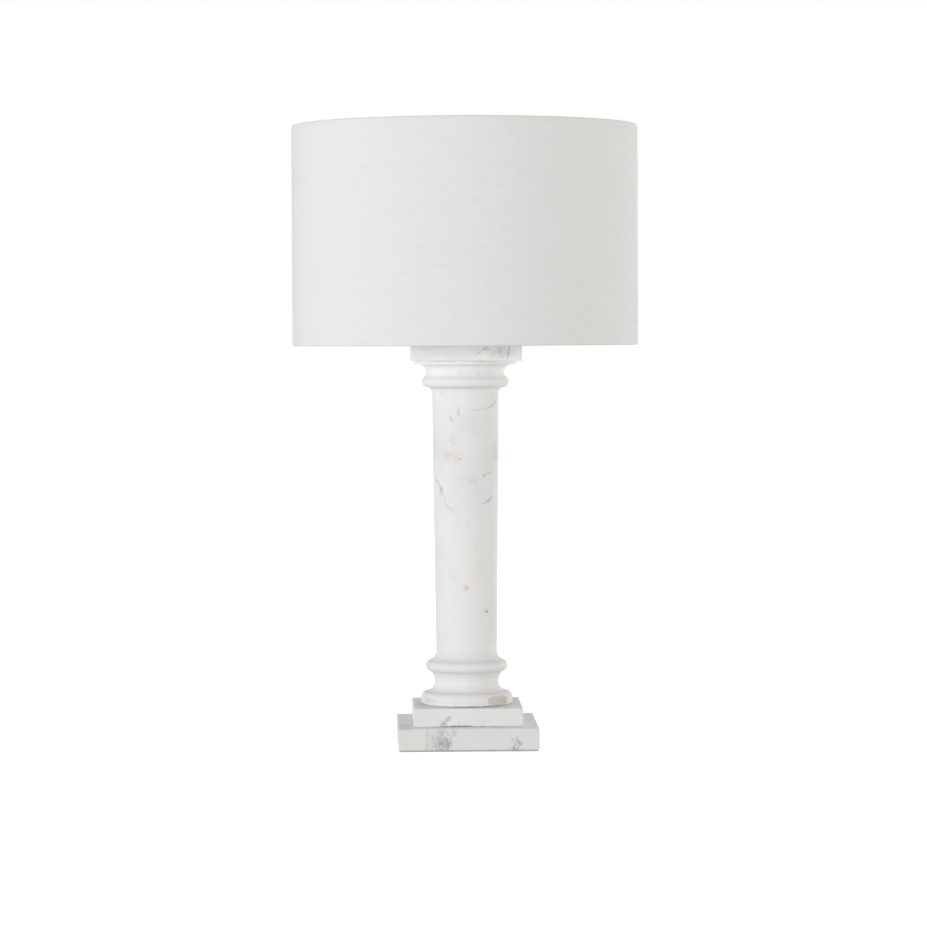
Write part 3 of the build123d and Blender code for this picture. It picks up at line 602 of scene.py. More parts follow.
ABACUS_MARKS = (
    streak("vein", 0.62, 1.1, (29.1, 565), (21.5, 560), (12.4, 552.6)),
    streak("vein", 0.42, 1.0, (21.5, 560.5), (35, 561.5)),
    blotch("vein", 0.16, (25, 562), (12, 6), 130, 0.6),
    blotch("cool_cloud", 0.50, (48, 558), (28, 12), 90, 0.5),
    blotch("vein", 0.10, (49, 558.5), (18, 11), 150, 0.7),
    scribble("vein", 0.42, (48, 558), (24, 13), 150, 0.08),
    streak("vein", 0.60, 1.6, (59, 569), (58.4, 560), (56.5, 548), taper=0.4),
    blotch("vein", 0.14, (-30, 566), (40, 3.5), 110, 0.7),
    scribble("vein", 0.26, (0, 50, 557), (100, 80, 40), 30, 0.016, BLOCK_RUN),
)
BASE_MARKS = (
    blotch("filler", 0.95, (48.4, 66), (21.2, 7), 110, 0.14, 0.16),
    blotch("brown_vein", 0.22, (60, 66), (11, 6), 240, 0.5),
    blotch("brown_vein", 0.26, (-63, 65), (20, 5), 130, 0.6),
    scribble("brown_vein", 0.40, (-62, 66), (20, 6), 140, 0.06),
    blotch("pale_cloud_and_painted_light", 0.40, (0, 93), (45, 16), 60, 0.3),
    blotch("ochre", 0.10, (8, 92), (16, 20), 60, 0.5),
    # dark joint line under the foot disc, partly painted contact shadow
    blotch("phenolic", 0.70, (15, FOOT_JOINT), (70, 1.8), 60, 0.4),
    blotch("brown_vein", 0.50, (0, FOOT_JOINT), (300, 1.6), 60, 0.4),
)
SHAFT_MARKS = (
    # painted light: the upper shaft is lightened to make up for the shade that the lampshade casts on
    # it
    blotch("pale_cloud_and_painted_light", 0.36, (0, SHAFT_TOP), (900, 60), 40, 0.15),
    streak("brown_vein", 0.26, 1.6, (3, 475.2), (21, 476.2), (34, 479)),
    streak("brown_vein", 0.42, 2.2, (33, 478.8), (43, 483), (50, 488.5)),
    blotch("ochre", 0.12, (43, 492), (12, 12), 110, 0.6),
    streak("vein", 0.40, 1.4, (-25, 469), (-18, 459)),
    streak("vein", 0.26, 1.0, (-19, 468), (-20.5, 463)),
    blotch("brown_vein", 0.34, (-10.5, 472.5), (3, 9), 220, 0.6),
    streak("vein", 0.22, 1.5, (-42, 499), (-31, 497.5), (-27, 489)),
    streak("brown_vein", 0.42, 1.6, (-18.8, 430), (-16.5, 426.2)),
    blotch("ochre", 0.24, (-20, 435), (6, 12), 120, 0.5),
    scribble("ochre", 0.42, (-22, 412), (22, 14), 130, 0.07),
    streak("vein", 0.40, 1.4, (-11.2, 405.2), (-7.2, 407.8)),
    streak("brown_vein", 0.34, 1.4, (-26.8, 401.2), (-25.8, 405.8)),
    blotch("ochre", 0.20, (-25, 409), (22, 13), 90, 0.6),
    blotch("ochre", 0.24, (50, 416), (13, 18), 90, 0.6),
    scribble("brown_vein", 0.28, (50, 416), (13, 18), 120, 0.06),
    streak("brown_vein", 0.70, 2.0, (21.5, 381.8), (29, 385.5)),
    streak("brown_vein", 0.42, 1.4, (27.5, 384.8), (40, 388)),
    streak("brown_vein", 0.62, 2.0, (29, 346), (37.5, 349.5)),
    streak("brown_vein", 0.36, 1.4, (20.5, 343.5), (31, 346.2)),
    streak("brown_vein", 0.36, 1.4, (37, 349), (42, 356)),
    streak("vein", 0.06, 2.2, (-14, 379), (1, 377), (15, 373.5)),
    blotch("vein", 0.11, (11, 376), (10, 9), 140, 0.6),
    streak("brown_vein", 0.46, 1.8, (-56, 381), (-44, 370), (-36, 359), taper=0.3),
    blotch("brown_vein", 0.34, (-40, 362), (6, 11), 140, 0.6),
    streak("brown_vein", 0.34, 1.5, (-36, 359), (-32, 344), (-18, 332)),
    streak("ochre", 0.22, 2.2, (1, 324), (2.5, 308)),
    scribble("brown_vein", 0.16, (14, 282), (8, 20), 120, 0.06),
    blotch("ochre", 0.80, (-1.2, 224.8), (4.2, 3.6), 300, 0.4),
    blotch("ochre", 0.30, (-1.2, 224.8), (8.5, 7.5), 200, 0.5),
    blotch("phenolic", 0.95, (31, 190.8), (1.8, 1.8), 300, 0.1, 0.6),
    scribble("vein", 0.35, (29, 191.3), (8, 8), 400, 0.08),
    streak("brown_vein", 0.24, 2.0, (90, 260), (110, 250), (120, 235)),
    streak("vein", 0.30, 2.2, (-130, 330), (-110, 315), (-95, 295)),
    streak("brown_vein", 0.28, 1.8, (100, 430), (118, 436), (133, 450)),
    blotch("ochre", 0.12, (120, 190), (14, 20), 80, 0.5),
)
CAPITAL_MARKS = (
    # painted light: the capital is lightened to make up for the shade under the lampshade
    blotch("pale_cloud_and_painted_light", 0.85, (0, CAP_TOP), (900, 56), 40, 0.15),
    streak("ochre", 0.65, 0.6, (-56, CAP_FILLET + 1.3), (0, CAP_FILLET + 1.1),
           (50, CAP_FILLET + 1.2), taper=0.3),
    # dark joint line under the abacus, partly painted shadow of its edge
    blotch("phenolic", 0.45, (11, CAP_TOP - 0.2), (33, 1.0), 70, 0.5),
    blotch("ochre", 0.45, (-10, CAP_TOP - 0.3), (60, 1.2), 70, 0.5),
    blotch("cool_cloud", 0.30, (10, 528), (50, 5), 60, 0.5),
    scribble("vein", 0.12, (10, 529), (50, 8), 90, 0.07),
)
SLABS = {       # the slab stone's colour times this, seed of the chips, marks
    "lower_plinth": ((0.945, 0.938, 0.920), 3.1, LOWER_MARKS),
    "upper_plinth": ((1.0, 1.0, 1.0), 8.7, UPPER_MARKS),
    # The abacus is painted lighter: painted light against the lampshade's shade over it
    "abacus": ((1.125, 1.125, 1.125), 15.2, ABACUS_MARKS),
}
TURNINGS = {    # the turned stone's colour times this, radius its marks are laid out on, marks
    "column_base": (1.0, 0.0647, BASE_MARKS),
    "column_shaft": (1.02, 0.0445, SHAFT_MARKS),
    # The capital is painted lighter too: painted light against the lampshade's shade
    "capital": (1.04, 0.0580, CAPITAL_MARKS),
}


# ---- mesh work ----
def arc(centre, size, first, sweep, steps):
    """Points on an arc, ends included, angles in radians. Points here are complex numbers."""
    return [(centre.real + size * math.cos(a), centre.imag + size * math.sin(a))
            for a in spread(first, first + sweep, steps)]


def phase(point):
    return math.atan2(point.imag, point.real)


def circle(centre, size, first, sweep, steps):
    """Points on an arc about centre, ends included, angles in degrees."""
    return arc(complex(*centre), size, math.radians(first), math.radians(sweep), steps)


def arc_from(start, end, heading, steps):
    """Points after start along the arc to end that leaves start with this heading."""
    a, b = complex(*start), complex(*end)
    side = 1j * heading
    reach = abs(b - a) ** 2 / (2 * (side.conjugate() * (b - a)).real)
    centre = a + side * reach
    first, last = phase(a - centre), phase(b - centre)
    sweep = (last - first) % TURN if reach > 0 else -((first - last) % TURN)
    return arc(centre, abs(reach), first, sweep, steps)[1:]


class Outline(list):
    """Points of (radius, height), with straight lines between them and arcs."""

    def near(self, r, z, *offsets):
        """Adds points at these offsets from (r, z), in hundredths of a millimetre."""
        self += [(r + across * FINE, z + up * FINE) for across, up in offsets]
        return self

    def leave(self, end, heading=UP, steps=12):
        """Adds the arc to end that leaves the last point with this heading."""
        self += arc_from(self[-1], end, heading, steps)
        return self

    def reach(self, end, heading=UP, steps=12):
        """Adds the arc to end that comes in with this heading."""
        self += arc_from(end, self[-1], -heading, steps)[-2::-1] + [end]
        return self

    def through(self, middle, end, steps=16):
        """Adds the arc through middle to end."""
        a, m, b = (complex(*p) for p in (self[-1], middle, end))
        ratio = (b - a) / (m - a)
        centre = a + (m - a) * (ratio - abs(ratio) ** 2) / (2j * ratio.imag)
        first, mid, last = (phase(p - centre) for p in (a, m, b))
        sweep = (last - first) % TURN
        if (mid - first) % TURN > sweep:
            sweep -= TURN
        self += arc(centre, abs(a - centre), first, sweep, steps)[1:]
        return self


def eased(outline, ease, least=35.0):
    """A closed outline whose corners of over least degrees are rounded."""
    done = []
    count = len(outline)
    for i, point in enumerate(outline):
        p, before, after = (Vector(outline[j % count]) for j in (i, i - 1, i + 1))
        back, ahead = before - p, after - p
        room = min(ease, back.length * 0.45, ahead.length * 0.45)
        turn = math.degrees(back.angle(ahead)) if back.length and ahead.length else 180.0
        if 180.0 - turn < least:
            done.append(tuple(point))
            continue
        a, b = p + back.normalized() * room, p + ahead.normalized() * room
        for share in (0.0, 0.33, 0.67, 1.0):
            done.append(tuple(a.lerp(p, share).lerp(p.lerp(b, share), share)))
    return done


def soften(mesh, crease=32.0):
    mesh.shade_smooth()
    mesh.set_sharp_from_angle(angle=math.radians(crease))


def mesh_of(name, vertices, faces, crease=32.0):
    """A closed mesh with its faces turned outward, smooth but for its creases."""
    mesh = bpy.data.meshes.new(name)
    mesh.from_pydata([tuple(v) for v in vertices], [], faces)
    work = bmesh.new()
    work.from_mesh(mesh)
    bmesh.ops.remove_doubles(work, verts=work.verts, dist=1e-7)
    bmesh.ops.dissolve_degenerate(work, edges=work.edges, dist=1e-8)
    bmesh.ops.recalc_face_normals(work, faces=work.faces)
    work.to_mesh(mesh)
    work.free()
    soften(mesh, crease)
    return mesh


def joined(name, parts, crease=32.0, weld=0.0):
    """One mesh of several, in which points nearer than weld become one."""
    mesh = bpy.data.meshes.new(name)
    work = bmesh.new()
    for part in parts:
        work.from_mesh(part)
    if weld:
        bmesh.ops.remove_doubles(work, verts=work.verts, dist=weld)
    work.to_mesh(mesh)
    work.free()
    soften(mesh, crease)
    return mesh


def looped(name, sections, crease=32.0, closed=True, capped=True):
    """A mesh through closed sections of equal count, joined in a ring or with ends."""
    count = len(sections[0])
    last = len(sections) - 1
    faces = []
    for i in range(last + closed):
        j = (i + 1) % len(sections)
        for k in range(count):
            n = (k + 1) % count
            faces.append((i * count + k, i * count + n, j * count + n, j * count + k))
    if capped and not closed:
        faces.append(tuple(range(count)))
        faces.append(tuple(range(last * count, (last + 1) * count)))
    return mesh_of(name, [v for section in sections for v in section], faces, crease)


def at_angle(outline, angle):
    """An outline of (radius, height) swung round the axis to this angle."""
    c, s = math.cos(angle), math.sin(angle)
    return [(r * c, r * s, z) for r, z in outline]


def turned(name, outline, steps, crease=32.0):
    """The closed outline of (radius, height) turned about the axis."""
    return looped(name, [at_angle(outline, a) for a in round_about(steps)], crease)


def threaded(name, root, crest, pitch, bottom, top, bore=AXIS, steps=64, rows=10):
    """A rod with one real thread, of so many rows a pitch, with a bore."""
    fades = pitch * 0.6
    heights = spread(bottom, top, max(2, round((top - bottom) / pitch * rows)))
    sections = []
    for angle in round_about(steps):
        ring = []
        for z in heights:
            ridge = 0.5 - 0.5 * math.cos(TURN * (z - bottom) / pitch - angle)
            ends = min(1.0, (z - bottom) / fades, (top - z) / fades)
            ring.append((root + (crest - root) * ridge * max(0.0, ends), z))
        sections.append(at_angle(ring + [(bore, top), (bore, bottom)], angle))
    return looped(name, sections, 50.0)


def wire(name, points, thickness, cyclic=False, sides=7):
    """A round wire through points."""
    line = bpy.data.curves.new(name, "CURVE")
    line.dimensions = "3D"
    line.bevel_depth = thickness / 2
    line.bevel_resolution = sides
    line.use_fill_caps = not cyclic
    run = line.splines.new("POLY")
    run.points.add(len(points) - 1)
    run.points.foreach_set("co", [c for p in points for c in (*p, 1.0)])
    run.use_cyclic_u = cyclic
    holder = bpy.data.objects.new(name, line)
    mesh = bpy.data.meshes.new_from_object(holder)
    bpy.data.objects.remove(holder)
    bpy.data.curves.remove(line)
    vertices = [v.co.copy() for v in mesh.vertices]
    faces = [tuple(f.vertices) for f in mesh.polygons]
    bpy.data.meshes.remove(mesh)
    return mesh_of(name, vertices, faces, 60.0)


def rounded_path(points, bends, step=0.0012):
    """Points along a path of straight runs whose corners are bent to these radii."""
    path = [Vector(points[0])]
    for before, corner, after, bend in zip(points, points[1:], points[2:], bends):
        p = Vector(corner)
        back, ahead = ((Vector(end) - p).normalized() for end in (before, after))
        half = back.angle(ahead) / 2
        cut = bend / math.tan(half)
        centre = p + (back + ahead).normalized() * (bend / math.sin(half))
        first, last = p + back * cut - centre, p + ahead * cut - centre
        sweep = first.angle(last)
        for share in spread(0.0, 1.0, max(3, round(bend * sweep / step))):
            path.append(centre + (first * math.sin((1 - share) * sweep)
                                  + last * math.sin(share * sweep)) / math.sin(sweep))
    path.append(Vector(points[-1]))
    return path


def carved(mesh, *cutters):
    """The mesh with the cutter meshes taken out of it."""
    scene = bpy.context.scene
    block = bpy.data.objects.new(mesh.name + "_block", mesh)
    scene.collection.objects.link(block)
    tools = []
    for i, cutter in enumerate(cutters):
        tool = bpy.data.objects.new(f"{mesh.name}_tool_{i}", cutter)
        scene.collection.objects.link(tool)
        cut = block.modifiers.new(f"cut_{i}", "BOOLEAN")
        cut.operation, cut.solver, cut.object = "DIFFERENCE", "EXACT", tool
        tools.append(tool)
    view = bpy.context.evaluated_depsgraph_get()
    made = bpy.data.meshes.new_from_object(block.evaluated_get(view))
    made.name = mesh.name + "_carved"
    for item in (block, *tools):
        bpy.data.objects.remove(item)
    soften(made)
    return made


def bar(name, size, start, end, turn=Matrix.Identity(4), steps=48):
    """A plain round cutter from start to end along Z, then turned."""
    plain = turned(name, [(AXIS, start), (size, start), (size, end), (AXIS, end)], steps)
    mesh = joined(name, [plain], weld=1e-4)
    mesh.transform(turn)
    return mesh


def set_in(name, mesh, body, slot, material, *nodes):
    """Puts a piece in the scene, riding on its body, in place of its CAD nodes."""
    piece = bpy.data.objects.new(name, mesh)
    bpy.context.scene.collection.objects.link(piece)
    mesh.materials.clear()
    mesh.materials.append(material)
    if nodes:
        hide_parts(*nodes)
    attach(piece, body)
    return piece


def plated(name, mesh, node, body="lamp_stand"):
    """Puts a nickel-plated piece in the scene."""
    return set_in(name, mesh, body, "nickel", metal("satin_nickel"), node)


def refinish(material, *nodes):
    """Gives CAD nodes that stay their own material."""
    for node in nodes:
        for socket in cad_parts[node].material_slots:
            socket.material = material


# ---- stone ----
def slab_lines(half, ease):
    """Grid lines from -half to half, close together at the eased arrises."""
    grid = 0.004
    ends = [half - ease * share for share in (0.0, 0.3, 0.65, 1.0, 2.5)]
    inner = ends[-1]
    middle = spread(-inner, inner, max(2, round(2 * inner / grid)))[1:-1]
    return [-e for e in ends] + middle + ends[::-1]


def worn_spot(p, half, middle, sizes, seed):
    """Where a point of a sharp block lies once its arrises are eased and chipped."""
    ease, on_arris = sizes.arris_ease, 0.2
    chips, rubs = 210, 60               # grain of the noise that places them
    chip_least, chip_deep, rub_deep = 0.15, 1.6, 0.5
    core = Vector([max(-h + ease, min(h - ease, c)) for h, c in zip(half, p)])
    out = p - core
    near = sum(abs(c) > ease * on_arris for c in out)
    out.normalize()
    spot = core + out * ease
    if near > 1:
        chip = noise.noise((spot + middle) * chips + Vector((seed, 0, 0)))
        rub = noise.noise((spot + middle) * rubs + Vector((0, seed, 0)))
        depth = max(0.0, chip - chip_least) * chip_deep + max(0.0, rub) * rub_deep
        spot -= out * sizes.arris_wear * min(1.0, depth)
    return spot + middle


def worn_slab(name, width, bottom, height, sizes, seed):
    """A square slab with eased arrises that are chipped a little here and there."""
    half = Vector((width / 2, width / 2, height / 2))
    middle = Vector((0.0, 0.0, bottom + height / 2))
    vertices, faces = [], []
    for axis, side in ((axis, side) for axis in range(3) for side in (-1, 1)):
        u, v = (axis + 1) % 3, (axis + 2) % 3
        across, along = (slab_lines(half[i], sizes.arris_ease) for i in (u, v))
        first, rows = len(vertices), len(along)
        for a in across:
            for b in along:
                p = Vector((0.0, 0.0, 0.0))
                p[axis], p[u], p[v] = side * half[axis], a, b
                vertices.append(worn_spot(p, half, middle, sizes, seed))
        for i in range(len(across) - 1):
            for n in range(first + i * rows, first + i * rows + rows - 1):
                faces.append((n, n + 1, n + rows + 1, n + rows))
    return mesh_of(name, vertices, faces, 40.0)


class LAMP_OT_slabs(bpy.types.Operator):
    """Cuts the two plinths and the abacus, with eased and lightly chipped arrises"""
    bl_idname = "lamp.slabs"
    bl_label = "Square slabs"

    def execute(self, context):
        sizes, body = context.scene.lamp_sizes, context.scene.lamp_colours.slab_stone
        over, recess, cord_way, face_deep = 0.01, 0.028, 0.006, 0.03
        way = lifted(low("cord_bushing") + radius("cord_bushing")) @ TO_BACK
        for node, (tints, seed, marks) in SLABS.items():
            bottom, top, half = low(node), high(node), radius(node)
            block = worn_slab(node + "_cut", 2 * half, bottom, top - bottom, sizes, seed)
            tools = [bar("bore", sizes.stone_bore / 2, bottom - over, top + over)]
            if node == "lower_plinth":
                tools.append(bar("recess", recess, bottom - over, high("bottom_washer"), steps=96))
                tools.append(bar("cord_way", cord_way, 0.0, half + over, way))
            material = stone(node + "_marble", [t * c for t, c in zip(tints, body)], marks, -half,
                             face_deep, clouds=0.40, roughness=0.45)
            set_in(node + "_stone", carved(block, *tools), "lamp_stand", "stone", material, node)
        return {"FINISHED"}


class LAMP_OT_turnings(bpy.types.Operator):
    """Turns the column's base, shaft and capital"""
    bl_idname = "lamp.turnings"
    bl_label = "Turned stone"

    def execute(self, context):
        sizes, body = context.scene.lamp_sizes, context.scene.lamp_colours.turned_stone
        bore, slim, wide = sizes.stone_bore / 2, 0.0431, 0.0472

        z, top, disc = low("column_base"), high("column_base"), radius("column_base")
        rim, waist = (disc - 0.0077, z + 0.0177), (0.0451, z + 0.0315)
        ring = ((0.0513, z + 0.0463), (0.0581, z + 0.0542), (0.0513, z + 0.0621))
        base = Outline([(bore, z)]).near(disc, z, (-100, 0), (0, 120), (0, 1000))
        base.leave(rim).reach(waist).leave(ring[0]).through(*ring[1:]).reach((slim, top))
        base.append((bore, top))

        foot, head = low("column_shaft"), high("column_shaft")
        shaft = [(bore, foot), *zip(spread(slim, wide, 24), spread(foot, head, 24)), (bore, head)]

        z, top, disc = low("capital"), high("capital"), radius("capital")
        ring = ((0.0537, z + 0.0076), (0.0615, z + 0.0143), (0.0593, z + 0.0210))
        waist, flare, fillet = (0.0552, z + 0.0285), 0.0660, CAP_FILLET * MM
        capital = Outline([(bore, z), (wide, z)]).leave(ring[0]).through(*ring[1:]).reach(waist)
        capital.leave((flare, fillet))
        capital += [(disc, fillet), (disc, top), (bore, top)]

        base, capital = (eased(outline, sizes.turned_ease) for outline in (base, capital))
        for outline, (node, (tone, around, marks)) in zip((base, shaft, capital), TURNINGS.items()):
            material = stone(node + "_marble", [tone * c for c in body], marks, 0.0, 1.0,
                             clouds=0.34, roughness=0.55, around=around)
            mesh = turned(node + "_turned", outline, sizes.turning_steps)
            set_in(node + "_stone", mesh, "lamp_stand", "stone", material, node)
        return {"FINISHED"}


class LAMP_OT_underside(bpy.types.Operator):
    """Lays the felt, finishes the pipe and its nuts, and makes the cord's bushing"""
    bl_idname = "lamp.underside"
    bl_label = "Felt, pipe and bushing"

    def execute(self, context):
        half, top = radius("felt_pad"), high("felt_pad")
        flat, waist, cut_low, cut_high = 0.985, 0.998, 0.0004, top - 0.0002
        fuzz_deep, fuzz_grain, rim_steps = 0.0003, 900, 64
        rim, side = [], [(x, -half) for x in spread(-half, half, rim_steps)[:-1]]
        for _ in range(4):
            rim += side
            side = [(-y, x) for x, y in side]
        layers = []
        for share, z in ((0.0, 0.0), (flat, 0.0), (1.0, cut_low), (waist, top / 2),
                         (1.0, cut_high), (flat, top), (0.0, top)):
            layer = []
            for x, y in rim:
                fuzz = fuzz_deep * noise.noise(Vector((x, y, z)) * fuzz_grain) if 0 < z < top else 0
                layer.append((x * share + fuzz * (abs(x) > abs(y)),
                              y * share + fuzz * (abs(y) > abs(x)), z))
            layers.append(layer)
        felt = set_in("felt_sheet", looped("felt_cut", layers, 40.0, closed=False, capped=False),
                      "lamp_stand", "felt", fibrous("pressed_felt"), "felt_pad")

        bottom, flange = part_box("cord_bushing")
        ring, stem, bore, back = radius("cord_bushing"), 0.0059, 0.00375, radius("lower_plinth")
        outline = Outline([(bore, bottom.y)]).near(stem, bottom.y, (-20, 0), (0, 60))
        outline += [(stem, back), (ring, back)]
        outline.near(ring, flange.y, (0, -70), (-50, -20), (-120, 0))
        outline.near(bore, flange.y, (105, 0), (25, -40), (0, -100))
        mesh = turned("bushing_turned", outline, 72, 40.0)
        mesh.transform(lifted(bottom.z + ring) @ TO_BACK)
        set_in("cord_bushing_moulded", mesh, "lamp_stand", "rubber", moulded("bushing_rubber"),
               "cord_bushing")
        refinish(metal("zinc_steel"), "threaded_pipe", "bottom_washer", "bottom_nut", "lock_nut",
                 "cap_screw")
        return {"FINISHED"}


class LAMP_OT_neck(bpy.types.Operator):
    """Makes the check ring and the neck over it"""
    bl_idname = "lamp.neck"
    bl_label = "Check ring and neck"

    def execute(self, context):
        steps = context.scene.lamp_sizes.turning_steps // 2
        bore, wide_bore = 0.0051, 0.0090
        z, top, rim = low("check_ring"), high("check_ring"), radius("check_ring")
        ring = Outline([(bore, z)]).near(rim, z, (-20, 0), (0, 20), (0, 90))
        ring.leave((rim - 0.0015, top - 0.0002), steps=6).near(rim, top, (-220, -20), (-240, 0))
        ring.append((bore, top))
        plated("check_ring_plated", turned("check_ring_turned", ring, steps), "check_ring")
        z, top, wall = low("neck_tube"), high("neck_tube"), radius("neck_tube")
        neck = Outline([(wide_bore, z)])
        neck.near(wall, z, (-20, 0), (0, 20), (0, 220), (-60, 280), (-60, 320), (0, 380))
        neck.near(wall, top, (0, -150)).leave((wall - 0.0015, top), steps=6)
        neck.near(bore, top, (0, 0), (0, -300)).append((wide_bore, top - 0.0030))
        plated("neck_plated", turned("neck_turned", neck, steps), "neck_tube")
        return {"FINISHED"}


# ---- harp ----
def strap_mesh(name, path, widths, thickness, soft=0.00025):
    """A flat strap bent along a path in the XZ plane, with its own width at each point."""
    sections = []
    for i, (point, width) in enumerate(zip(path, widths)):
        ahead = path[min(i + 1, len(path) - 1)] - path[max(i - 1, 0)]
        side = Vector((-ahead.z, 0.0, ahead.x)).normalized() * (thickness / 2)
        corners = []
        for s, t in ((-1, -1), (-1, 1), (1, 1), (1, -1)):
            for inset_y, inset_s in ((0.0, soft), (soft, 0.0))[::1 if s == t else -1]:
                off = side * (t * (1 - 2 * inset_s / thickness))
                corners.append(point + off + Vector((0.0, s * (width / 2 - inset_y), 0.0)))
        sections.append(corners)
    return looped(name, sections, 30.0, closed=False)


def mirrored(points):
    """The points and their mirror images on the other side of X = 0, in one run."""
    return points + [Vector((-x, y, z)) for x, y, z in reversed(points)]


class LAMP_OT_harp(bpy.types.Operator):
    """Bends the harp, its saddle, its two lock sleeves and the threaded stud"""
    bl_idname = "lamp.harp"
    bl_label = "Harp"

    def execute(self, context):
        sizes = context.scene.lamp_sizes
        gauge = sizes.harp_wire
        foot, crown = low("harp_frame"), high("harp_frame") - gauge / 2
        wide, leg, flat = radius("harp_frame") - gauge / 2, 0.0270, 0.0260
        seat = high("harp_saddle") - 0.0180
        leg_top, belly_low, belly_high = seat + 0.0460, seat + 0.0960, seat + 0.1810
        half = [(leg, 0, foot), (leg, 0, leg_top), (wide, 0, belly_low), (wide, 0, belly_high),
                (flat, 0, crown)]
        bends = [0.030, 0.060, 0.045, 0.026]
        path = rounded_path(mirrored(half), bends + bends[::-1])
        plated("harp_wire", wire("harp_bent", path, gauge, sides=9), "harp_frame")

        bottom, top, thick = low("harp_saddle"), high("harp_saddle"), 0.0016
        outer, mid, up = radius("harp_saddle") - thick / 2, bottom + thick / 2, seat + 0.0060
        prong_tip, prong, strap_wide, hole, bend = 0.0036, 0.0050, 0.0120, 0.0051, 0.0018
        corner = rounded_path([(outer, 0, top), (outer, 0, mid), (0, 0, mid)], [bend], 0.0003)
        legs = [Vector((outer, 0, z)) for z in (top, top - 0.0006, up + 0.0008, up, up - 0.0004)]
        path = legs + corner[1:-1]
        widths = [prong_tip, prong, prong, 0.0112] + [strap_wide] * (len(path) - 4)
        strap = strap_mesh("saddle_bent", mirrored(path), widths + widths[::-1], thick)
        strap = carved(strap, bar("saddle_hole", hole, bottom - 0.01, bottom + 0.01))
        plated("harp_saddle_strap", strap, "harp_saddle")

        for side in ("left", "right"):
            node = "harp_sleeve_" + side
            near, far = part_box(node)
            wall = (far.y - near.y) / 2
            bore = wall - 0.0008
            outline = Outline().near(bore, near.z, (0, 30), (30, 0))
            outline.near(wall, near.z, (-30, 0), (0, 30), (0, 300), (-30, 360))
            outline.near(wall, far.z, (-30, -360), (0, -300), (0, -30), (-30, 0))
            outline.near(bore, far.z, (30, 0), (0, -30))
            mesh = turned(node + "_turned", outline, 72, 50.0)
            mesh.transform(Matrix.Translation(((near.x + far.x) / 2, 0, 0)))
            plated(node + "_plated", mesh, node, "sleeve_" + side)

        plate, bottom, top = radius("harp_stud"), low("harp_stud"), high("harp_stud")
        plate_top, root, crest, play = low("spider_hub"), 0.00285, 0.00313, 0.00003
        disc = Outline([(AXIS, bottom)]).near(plate, bottom, (-20, 0), (0, 20))
        disc.near(plate, plate_top, (0, -60), (-60, 0)).append((AXIS, plate_top))
        groove = bar("stud_seat", gauge / 2 + play, -0.03, 0.03, lifted(crown) @ TO_RIGHT)
        disc = carved(turned("stud_plate_turned", disc, 72, 40.0), groove)
        rod = threaded("stud_threaded", root, crest, sizes.stud_pitch, plate_top, top)
        plated("harp_stud_threaded", joined("stud_and_plate", (disc, rod), 40.0), "harp_stud")
        return {"FINISHED"}


# ---- socket and switch ----
class LAMP_OT_socket(bpy.types.Operator):
    """Spins the socket's cap and shell, and finishes what is inside it"""
    bl_idname = "lamp.socket"
    bl_label = "Socket"

    def execute(self, context):
        steps = context.scene.lamp_sizes.turning_steps // 2
        bore, wall, throat = 0.00505, 0.0009, 0.0075
        z, top, rim = low("socket_cap"), high("socket_cap"), radius("socket_cap")
        dome, shelf = z + 0.0125, z + 0.0055
        cap = Outline([(bore, z)]).near(throat, z, (-20, 0), (0, 20), (0, 400))
        cap.reach((rim, dome), steps=16)
        cap.near(rim, top, (0, -200), (-25, -160), (0, -100), (0, -20), (-20, 0))
        cap += [(rim - wall, top), (rim - wall, dome)]
        cap.leave((throat, shelf), DOWN, 16).append((bore, shelf))
        hole = bar("screw_way", 0.00125, 0.0, 0.0173, lifted(z + 0.0020) @ TO_BACK, 24)
        set_in("socket_cap_spun", carved(turned("cap_spun", cap, steps), hole), "lamp_stand",
               "brass", metal("lacquered_brass"), "socket_cap")

        z, top, skin = low("socket_shell"), high("socket_shell"), radius("socket_shell")
        thin, bead, lip = 0.0005, z + 0.0120, top - 0.0030
        shell = Outline([(skin - thin, z), (skin, z), (skin, bead)])
        shell.through((skin + 0.0006, bead + 0.0012), (skin, bead + 0.0024), 8)
        shell.append((skin, lip))
        shell.through((skin + 0.0007, lip + 0.0012), (skin, lip + 0.0024), 8)
        shell.near(skin, top, (0, -20), (-20, 0)).append((skin - thin, top))
        stem = lifted((low("switch_stem") + high("switch_stem")) / 2) @ TO_FRONT
        hole = bar("stem_way", 0.0025, 0.0, 0.0300, stem, 32)
        set_in("socket_shell_spun", carved(turned("shell_spun", shell, steps), hole), "lamp_stand",
               "brass", metal("lacquered_brass"), "socket_shell")

        refinish(fibrous("vulcan_card"), "socket_liner")
        refinish(moulded("phenolic_moulding"), "socket_insulator")
        refinish(metal("lacquered_brass"), "terminal_screws", "screw_shell", "centre_contact",
                 "switch_stem", "finial_insert")
        return {"FINISHED"}


